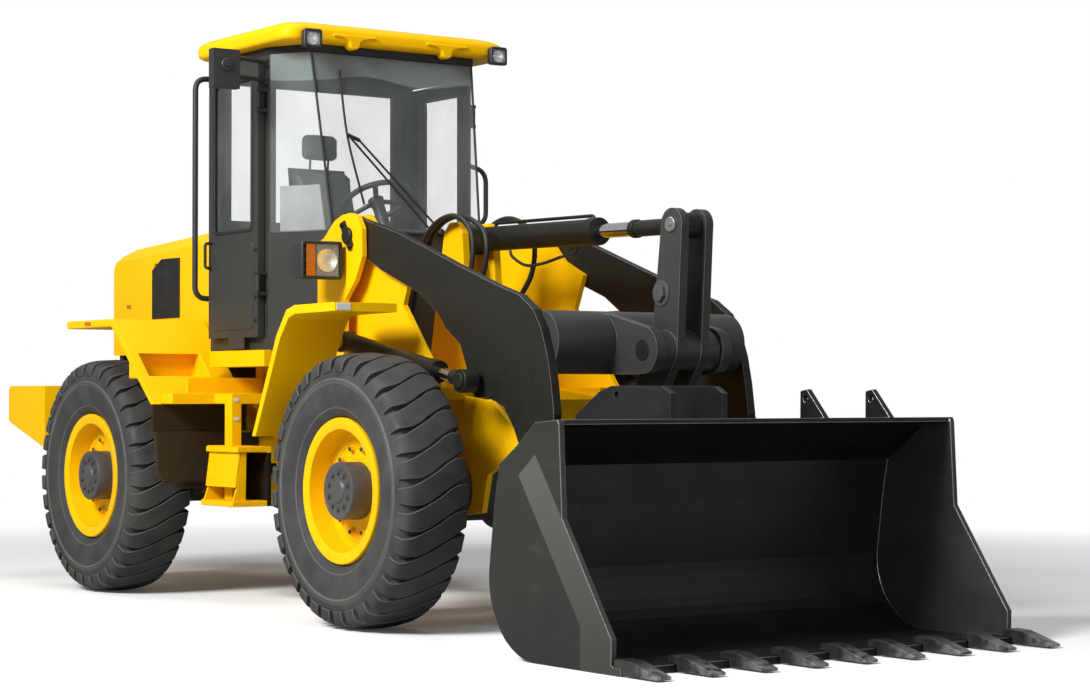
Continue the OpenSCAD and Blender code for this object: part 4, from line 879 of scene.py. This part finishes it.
# Each pad as [name, rings from its foot up, each of centre x, half depth, half width and height]
PADS = [
    ("seat_base_pad", [(-0.375, 0.17, 0.2, 1.728), (-0.375, 0.2, 0.228, 1.745), (-0.375, 0.203, 0.23, 1.82),
                       (-0.375, 0.17, 0.2, 1.845)]),
    ("seat_back_pad", [(-0.545, 0.025, 0.19, 1.9), (-0.548, 0.042, 0.222, 1.925), (-0.595, 0.042, 0.222, 2.2),
                       (-0.638, 0.036, 0.2, 2.42), (-0.642, 0.02, 0.17, 2.45)]),
    ("head_rest_pad", [(-0.65, 0.016, 0.09, 2.512), (-0.65, 0.028, 0.113, 2.53), (-0.65, 0.028, 0.113, 2.635),
                       (-0.65, 0.016, 0.09, 2.655)]),
]
# Boxes of the stand, as [low corner, high corner], and the plate behind the back
STAND_BOXES = [((-0.5, -0.15, 1.451), (-0.3, 0.15, 1.6)), ((-0.55, -0.18, 1.6), (-0.27, 0.18, 1.7)),
               ((-0.59, -0.235, 1.7), (-0.16, 0.235, 1.722))]
BACK_PLATE = [(-0.606, 1.71), (-0.592, 1.71), (-0.6, 1.9), (-0.684, 2.46), (-0.69, 2.46), (-0.606, 1.9)]
BACK_HALF_W, POST_Y = 0.19, 0.06


def baked(obj):
    """Applies an object's modifiers to its mesh."""
    plain = bpy.data.meshes.new_from_object(obj.evaluated_get(bpy.context.evaluated_depsgraph_get()))
    obj.modifiers.clear()
    obj.data = plain


def swollen(obj):
    """Blows a pad up with the cloth solver, each point within a small move."""
    remesh = obj.modifiers.new("even_mesh", "REMESH")
    remesh.voxel_size = PAD_VOXEL
    baked(obj)
    before = [v.co.copy() for v in obj.data.vertices]
    cloth = obj.modifiers.new("swell", "CLOTH")
    cloth.settings.use_pressure = True
    cloth.settings.uniform_pressure_force = PAD_PRESSURE
    cloth.settings.effector_weights.gravity = 0.0
    for i in range(1, PAD_FRAMES + 1):
        SCENE.frame_set(i)
    baked(obj)
    SCENE.frame_set(1)
    for vertex, start in zip(obj.data.vertices, before):
        move = vertex.co - start
        vertex.co = start + move * min(1.0, PAD_MOVE / max(move.length, 1e-9))
    skin = obj.modifiers.new("even_skin", "SUBSURF")
    skin.levels = skin.render_levels = 1
    obj.data.shade_smooth()


def driver_seat():
    """The seat's stand and its three padded cushions."""
    stand = Form()
    for low, high in STAND_BOXES:
        stand.box(at(*low), at(*high))
    stand.prism(BACK_PLATE, -BACK_HALF_W, BACK_HALF_W)
    for y in (-POST_Y, POST_Y):
        stand.tube([at(-0.66, y, 2.44), at(-0.65, y, 2.53)], 0.007, 10)
    obj = stand.piece("seat_stand", PLASTIC, bevel=0.006)
    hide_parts("seat")
    for name, rows in PADS:
        pad = Form()
        plans = [((x - d, -w), (x + d, w), min(PAD_CORNER, d * 0.9), z) for x, d, w, z in rows]
        pad.loft([rounded(low, high, radius, lambda u, v: at(u, v, z)) for low, high, radius, z in plans])
        obj = pad.piece(name, VINYL, "rear_frame", "seat_cover")
        swollen(obj)


driver_seat()


# Body fittings

HOOD_Y = 0.5
VENT_X, VENT_Z, VENT_PITCH, WIRE_R = (-1.8, -1.445), (1.61, 1.96), 0.0125, 0.0026
# The vent's rear upper corner that is cut off
VENT_CUT_X, VENT_CUT_Z = 0.12, 0.06
VENT_SLOPE = VENT_CUT_Z / VENT_CUT_X
APRON_X, APRON_TOP, APRON_LOW, APRON_IN_Y = -0.5775, 0.9425, 0.655, 0.62
# Layers of the apron, as [distance ahead of its front face, inset]
APRON_LAYERS = ((-0.025, 0.0), (-0.006, 0.0), (0.0, 0.006))
# Kick plate of the steps: low and top edge as [y, z], cheeks as [x, inner y]
KICK_X, KICK_T = (-0.42, -0.075), 0.014
KICK_EDGES = ((0.856, 0.64), (0.832, 0.8285))
KICK_CHEEKS = ((-0.42, 0.668), (-0.089, 0.79))
# Treads of the steps on the left side, as [low x and y, high x and y, height]
TREADS = [((-0.42, 0.68), (-0.07, 0.84), 0.86), ((-0.42, 0.68), (-0.07, 0.87), 0.565),
          ((-0.565, 0.6), (-0.46, 1.03), 1.15)]
TREAD_BARS, BAR_HALF_W, BAR_SINK, BAR_H = 7, 0.007, 0.002, 0.004
# Markers on the left side, as [name, low corner, high corner, material, body]
MARKERS = [
    ("hood_marker_%s", (-2.165, HOOD_Y, 1.678), (-2.107, HOOD_Y + 0.004, 1.702), AMBER_LENS, "hood"),
    ("guard_marker_%s", (-1.47, 1.1, 1.545), (-1.39, 1.1035, 1.567), AMBER_LENS, "rear_frame"),
    ("step_marker_%s_0", (-0.255, 0.735, 1.105), (-0.2515, 0.767, 1.125), WHITE, "rear_frame"),
    ("step_marker_%s_1", (-0.255, 0.735, 1.0), (-0.2515, 0.767, 1.02), WHITE, "rear_frame"),
    ("front_marker_%s", (1.4015, 1.01, 1.557), (1.405, 1.09, 1.591), WHITE, "front_frame"),
]


def vent_top(x):
    """Upper edge of the vent, which falls towards the cut corner."""
    return min(VENT_Z[1], VENT_Z[1] - VENT_CUT_Z + (x - VENT_X[0]) * VENT_SLOPE)


def hood_mesh(hand, side):
    """A black mesh over the hood's side vent, its rear upper corner cut off."""
    y = side * HOOD_Y
    mesh = Form()
    (x0, x1), (z0, z1) = VENT_X, VENT_Z
    outline = [(x0, z0), (x1, z0), (x1, z1), (x0 + VENT_CUT_X, z1), (x0, vent_top(x0))]
    mesh.prism(outline, y - side * 0.003, y + side * 0.0015)
    edge = [at(x, y + side * 0.002, z) for x, z in outline]
    mesh.tube(edge + edge[:1], 0.006, 8)
    x = x0 + VENT_PITCH
    while x < x1:
        mesh.tube([at(x, y + side * 0.0025, z) for z in (z0, vent_top(x))], WIRE_R, 6)
        x += VENT_PITCH
    z = z0 + VENT_PITCH
    while z < z1:
        start = x0 + max(0.0, (z - z1 + VENT_CUT_Z) / VENT_SLOPE)
        mesh.tube([at(x, y + side * 0.004, z) for x in (start, x1)], WIRE_R, 6)
        z += VENT_PITCH
    mesh.piece("hood_mesh_" + hand, SEAL, "hood", "trim_plastic")


def tank_apron(hand, side):
    """The tank's wall below the rear fender, its outer edge leaning in."""
    wall = Form()
    rings = []
    for ahead, inset in APRON_LAYERS:
        outline = [(APRON_IN_Y, APRON_TOP), (1.087 - inset, APRON_TOP), (1.07 - inset, APRON_LOW + 0.05),
                   (1.03 - inset, APRON_LOW + inset), (APRON_IN_Y, APRON_LOW + inset)]
        rings.append([at(APRON_X + ahead, side * y, z) for y, z in outline])
    wall.loft(rings)
    # The wall's dark colour carries painted shade and a painted reflection of the yellow.
    wall.piece("tank_apron_" + hand, TANK_WALL_AND_PAINTED_SHADE, "rear_frame", "paint_dark", bevel=0.003)


def step_face(hand, side):
    """The kick plate below the upper step, between two cheeks."""
    plate = Form()
    corners = [(x, 0) for x in KICK_X] + [(x, KICK_T) for x in reversed(KICK_X)]
    plate.loft([[at(x, side * (y - deep), z) for x, deep in corners] for y, z in KICK_EDGES])
    (_, low), (_, top) = KICK_EDGES
    for x, inner in KICK_CHEEKS:
        outline = [(inner, 0.566), (0.868, 0.566), (0.843, low), (0.815, top), (inner - 0.005, top)]
        plate.loft([[at(u, side * y, z) for y, z in outline] for u in (x, x + KICK_T)])
    plate.piece("step_face_" + hand, YELLOW, "rear_frame", "paint_yellow", bevel=0.002)


def markers(hand, side):
    for name, low, high, material, body in MARKERS:
        plate = Form()
        low, high = on_side((low, high), side)
        plate.box(at(*low), at(*high))
        plate.piece(name % hand, material, body, "lamp_plastic", bevel=0.0015)


def step_treads(hand, side):
    """Raised bars across the steps and the platform."""
    treads = Form()
    for (x0, y0), (x1, y1), z in TREADS:
        for i in range(TREAD_BARS):
            x = mixed(x0, x1, i / (TREAD_BARS - 1))
            treads.box(at(x - BAR_HALF_W, side * y0, z - BAR_SINK), at(x + BAR_HALF_W, side * y1, z + BAR_H))
    treads.piece("step_treads_" + hand, YELLOW, "rear_frame", "paint_yellow", bevel=0.002)


for hand, side in SIDES.items():
    hood_mesh(hand, side)
    tank_apron(hand, side)
    step_face(hand, side)
    markers(hand, side)
    step_treads(hand, side)


# Loader fittings

# Pins in the side view, as [x, z]
ARM_PIN, TILT_BASE, CRANK_TOP, CRANK_PIN = (0.755, 1.97), (0.955, 1.96), (2.77, 1.935), (2.715, 1.35)
LIFT_BASE, LIFT_EYE, BUCKET_PIN, LIFT_Y = (0.8, 1.418), (1.926, 1.209), (2.7, 0.36), 0.678
KEEPER_CORNERS = [(0.69, 2.02), (0.725, 2.052), (0.812, 1.922), (0.777, 1.89)]
KEEPER_BOLTS, KEEPER_Y = ((0.713, 2.027), (0.79, 1.912)), (0.64, 0.652)
# Pin caps, as [body, name, pin, distance from the middle plane, radius, height, material]
PIN_CAPS = [("bellcrank", "crank_top_cap", CRANK_TOP, 0.0955, 0.036, 0.012, STEEL),
            ("boom", "crank_pin_cap", CRANK_PIN, 0.2225, 0.05, 0.003, DARK),
            ("bucket", "bucket_pin_cap", BUCKET_PIN, 0.6435, 0.055, 0.012, DARK)]
CRANK_BOLT = (2.695, 0.095, 1.617)
# Along the tilt cylinder, as [share of its length, height above its axis]
OIL_PIPE = ((0.1, 0.05), (0.1, 0.082), (0.575, 0.082), (0.575, 0.06))
SMALL_HOSE = ((0.22, -0.07), (0.235, -0.105), (0.3, -0.15), (0.38, -0.145), (0.46, -0.12), (0.53, -0.1),
              (0.545, -0.07))
# The large hoses, as [y, x of the furthest point]
HOSE_RUNS = ((-0.155, 1.3), (-0.195, 1.24), (0.16, 1.28))
HOSE_R, SMALL_HOSE_R, HOSE_END_R = 0.014, 0.008, 0.019


def along(start, end, share, y, up=0.0):
    """A point on a cylinder's axis in the side view, raised square to it."""
    run = Vector((end[0] - start[0], end[1] - start[1]))
    way = run.normalized()
    return at(start[0] + run.x * share - way.y * up, y, start[1] + run.y * share + way.x * up)


def tilt_point(share, y, up=0.0):
    return along(TILT_BASE, CRANK_TOP, share, y, up)


def pin_keepers():
    """Keeper plates on the towers, the pins' caps and the bell crank's bolts."""
    keepers, bolts = Form(), Form()
    for side in BOTH_SIDES:
        keepers.prism(KEEPER_CORNERS, *(side * y for y in KEEPER_Y))
        keepers.disc(at(ARM_PIN[0], side * 0.6405, ARM_PIN[1]), outward(side), 0.045, 0.018)
        for x, z in KEEPER_BOLTS:
            keepers.bolt(at(x, side * KEEPER_Y[1], z), outward(side), 0.012, 0.011)
    keepers.piece("tower_keepers", DARK, "front_frame", "paint_dark", bevel=0.003)
    for body, name, (x, z), y, radius, high, material in PIN_CAPS:
        caps = Form()
        for side in BOTH_SIDES:
            caps.disc(at(x, side * y, z), outward(side), radius, high)
            caps.bolt(at(x, side * (y + high * 0.9), z), outward(side), radius * 0.3, high * 0.8)
        caps.piece(name, material, body, "paint_dark")
    for side in BOTH_SIDES:
        bolts.bolt(at(CRANK_BOLT[0], side * CRANK_BOLT[1], CRANK_BOLT[2]), outward(side), 0.042, 0.024)
    bolts.piece("crank_bolts", HUB, "bellcrank", "paint_dark", bevel=0.003)


def rod_eye(form, pin, y, bore, radius, half, steps):
    profile = [(bore, -half), (radius, -half), (radius, half), (bore, half)]
    form.lathe(profile, at(pin[0], y, pin[1]), Y_AXIS, steps)


def cylinder_trim():
    """Sleeves and eyes on the rods, and the tilt cylinder's oil pipe and small hose."""
    sleeve, eyes, pipe, line = Form(), Form(), Form(), Form()
    sleeve.tube([tilt_point(0.775, 0), tilt_point(0.795, 0)], 0.045, 32)
    sleeve.tube([tilt_point(0.79, 0), tilt_point(0.975, 0)], 0.0395, 32)
    rod_eye(sleeve, CRANK_TOP, 0, 0.042, 0.0595, 0.0415, 48)
    sleeve.piece("tilt_rod_sleeve", DARK, "tilt_rod", "paint_dark", bevel=0.003)
    for side in BOTH_SIDES:
        y = side * LIFT_Y
        rod_eye(eyes, LIFT_EYE, y, 0.034, 0.0565, 0.041, 40)
        eyes.disc(at(LIFT_EYE[0], side * (LIFT_Y + 0.0412), LIFT_EYE[1]), outward(side), 0.04, 0.012)
        eyes.tube([along(LIFT_BASE, LIFT_EYE, share, y) for share in (0.9, 0.96)], 0.037, 28)
    eyes.piece("lift_rod_eyes", DARK, "lift_rods", "paint_dark", bevel=0.003)
    pipe.tube(bent_path([tilt_point(share, 0.03, up) for share, up in OIL_PIPE], 0.02), 0.009, 10)
    pipe.piece("tilt_oil_pipe", DARK, "tilt_barrel", "paint_dark")
    line.tube(smooth_path([tilt_point(share, -0.03, up) for share, up in SMALL_HOSE]), SMALL_HOSE_R, 10)
    line.piece("tilt_small_hose", HOSE, "tilt_barrel", "trim_plastic")


def hoses():
    """Hoses from the front frame over to the tilt cylinder's bracket."""
    rubber, ends = Form(), Form()
    for y, reach in HOSE_RUNS:
        points = [(0.6, y, 1.19), (0.62, y, 1.6), (0.8, y, 1.97), (1.05, y, 2.075), (reach, y, 1.98),
                  (reach, y, 1.78), (1.13, y * 0.9, 1.6)]
        path = smooth_path([at(*p) for p in points])
        rubber.tube(path, HOSE_R, 12)
        ends.tube([path[0], path[3]], HOSE_END_R, 6)
        ends.tube([path[-4], path[-1]], HOSE_END_R, 6)
        ends.tube([path[-1], at(1.0, math.copysign(0.115, y), 1.56)], 0.013, 12)
    rubber.piece("tilt_hoses", HOSE, "front_frame", "trim_plastic")
    ends.piece("hose_ends", STEEL, "front_frame", "axle_grey", smooth=30)


pin_keepers()
cylinder_trim()
hoses()


# Camera, light and floor

PHOTO_W = 1090
FOCAL_PX, PRINCIPAL_X = 2421.6, 534.0
CAMERA_YAW, CAMERA_PITCH = 2.529, 0.019
CAMERA_AT = at(11.604, -7.083, 1.137)
SENSOR_MM = 36.0
AMBIENT, GLOSS = 0.18, 0.42
SHOWN_RAYS = ("Is Camera Ray", "Is Transmission Ray")
# The floor fades to white from near to far
FLOOR_HALF, FLOOR_NEAR, FLOOR_FAR = 40.0, 4.5, 9.0
FLOOR_TONE, FLOOR_LIFT = 0.95, 0.04
# Lights, as [name, place, target, width and height, watts]
LIGHTS = [("key_right", (2.2, -8.6, 6.8), (0, 0, 1.2), (4, 3), 1420),
          ("top", (-0.5, 0.0, 9.0), (0, 0, 0), (5, 5), 230),
          ("front_soft", (10.0, -1.0, 4.0), (1.5, 0, 1.0), (4, 3), 150)]


def make_camera():
    data = bpy.data.cameras.new("camera")
    data.sensor_width = SENSOR_MM
    data.sensor_fit = "HORIZONTAL"
    data.lens = FOCAL_PX * SENSOR_MM / PHOTO_W
    data.shift_x = (PHOTO_W / 2 - PRINCIPAL_X) / PHOTO_W
    data.clip_end = 200
    camera = linked("camera", data)
    flat = math.cos(CAMERA_PITCH)
    look = Vector((flat * math.cos(CAMERA_YAW), flat * math.sin(CAMERA_YAW), math.sin(CAMERA_PITCH)))
    camera.location = CAMERA_AT
    camera.rotation_euler = look.to_track_quat("-Z", "Y").to_euler()
    SCENE.camera = camera


def make_world():
    """White to the camera and through glass, dimmer in reflections, dimmest as light."""
    world = bpy.data.worlds.new("world")
    world.use_nodes = True
    w = Nodes(world.node_tree)
    shown = w.span(w.rays(*SHOWN_RAYS), 0.0, 1.0, 0.0, 1.0 - AMBIENT)
    glossy = w.span(w.rays("Is Glossy Ray"), 0.0, 1.0, 0.0, GLOSS - AMBIENT)
    background = world.node_tree.nodes["Background"].inputs
    w.feed(background["Strength"], w.math("ADD", w.math("ADD", shown, AMBIENT), glossy))
    w.feed(background["Color"], (1, 1, 1, 1))
    SCENE.world = world


def make_floor():
    """A floor that takes the part's shadow and turns white further out."""
    mesh = bpy.data.meshes.new("floor")
    s = FLOOR_HALF
    mesh.from_pydata([(-s, -s, 0), (s, -s, 0), (s, s, 0), (-s, s, 0)], [], [(0, 1, 2, 3)])
    floor = linked("floor", mesh)
    f = Finish("floor_white")
    far = f.node("ShaderNodeVectorMath", {0: f.coords}, operation="LENGTH")["Value"]
    shown = f.rays(*SHOWN_RAYS)
    glow = f.math("MULTIPLY", shown, f.span(far, FLOOR_NEAR, FLOOR_FAR, FLOOR_LIFT, 1.0))
    tone = f.span(far, FLOOR_NEAR, FLOOR_FAR, FLOOR_TONE, 0.0)
    colour = f.node("ShaderNodeCombineColor", {0: tone, 1: tone, 2: tone})[0]
    pale = f.blend(shown, (0.55, 0.55, 0.55), colour)
    f.set(base_color=pale, roughness=0.9, specular_ior_level=0.0, emission_color=(1.0, 1.0, 1.0))
    f.set(emission_strength=glow)
    mesh.materials.append(f.mat)


def area_light(name, place, target, size, power):
    data = bpy.data.lights.new(name, "AREA")
    data.shape = "RECTANGLE"
    data.size, data.size_y = size
    data.energy = power
    light = linked(name, data)
    light.location = place
    light.rotation_euler = (Vector(target) - Vector(place)).to_track_quat("-Z", "Y").to_euler()


make_camera()
make_world()
make_floor()
for row in LIGHTS:
    area_light(*row)

SCENE.view_settings.view_transform = "Standard"
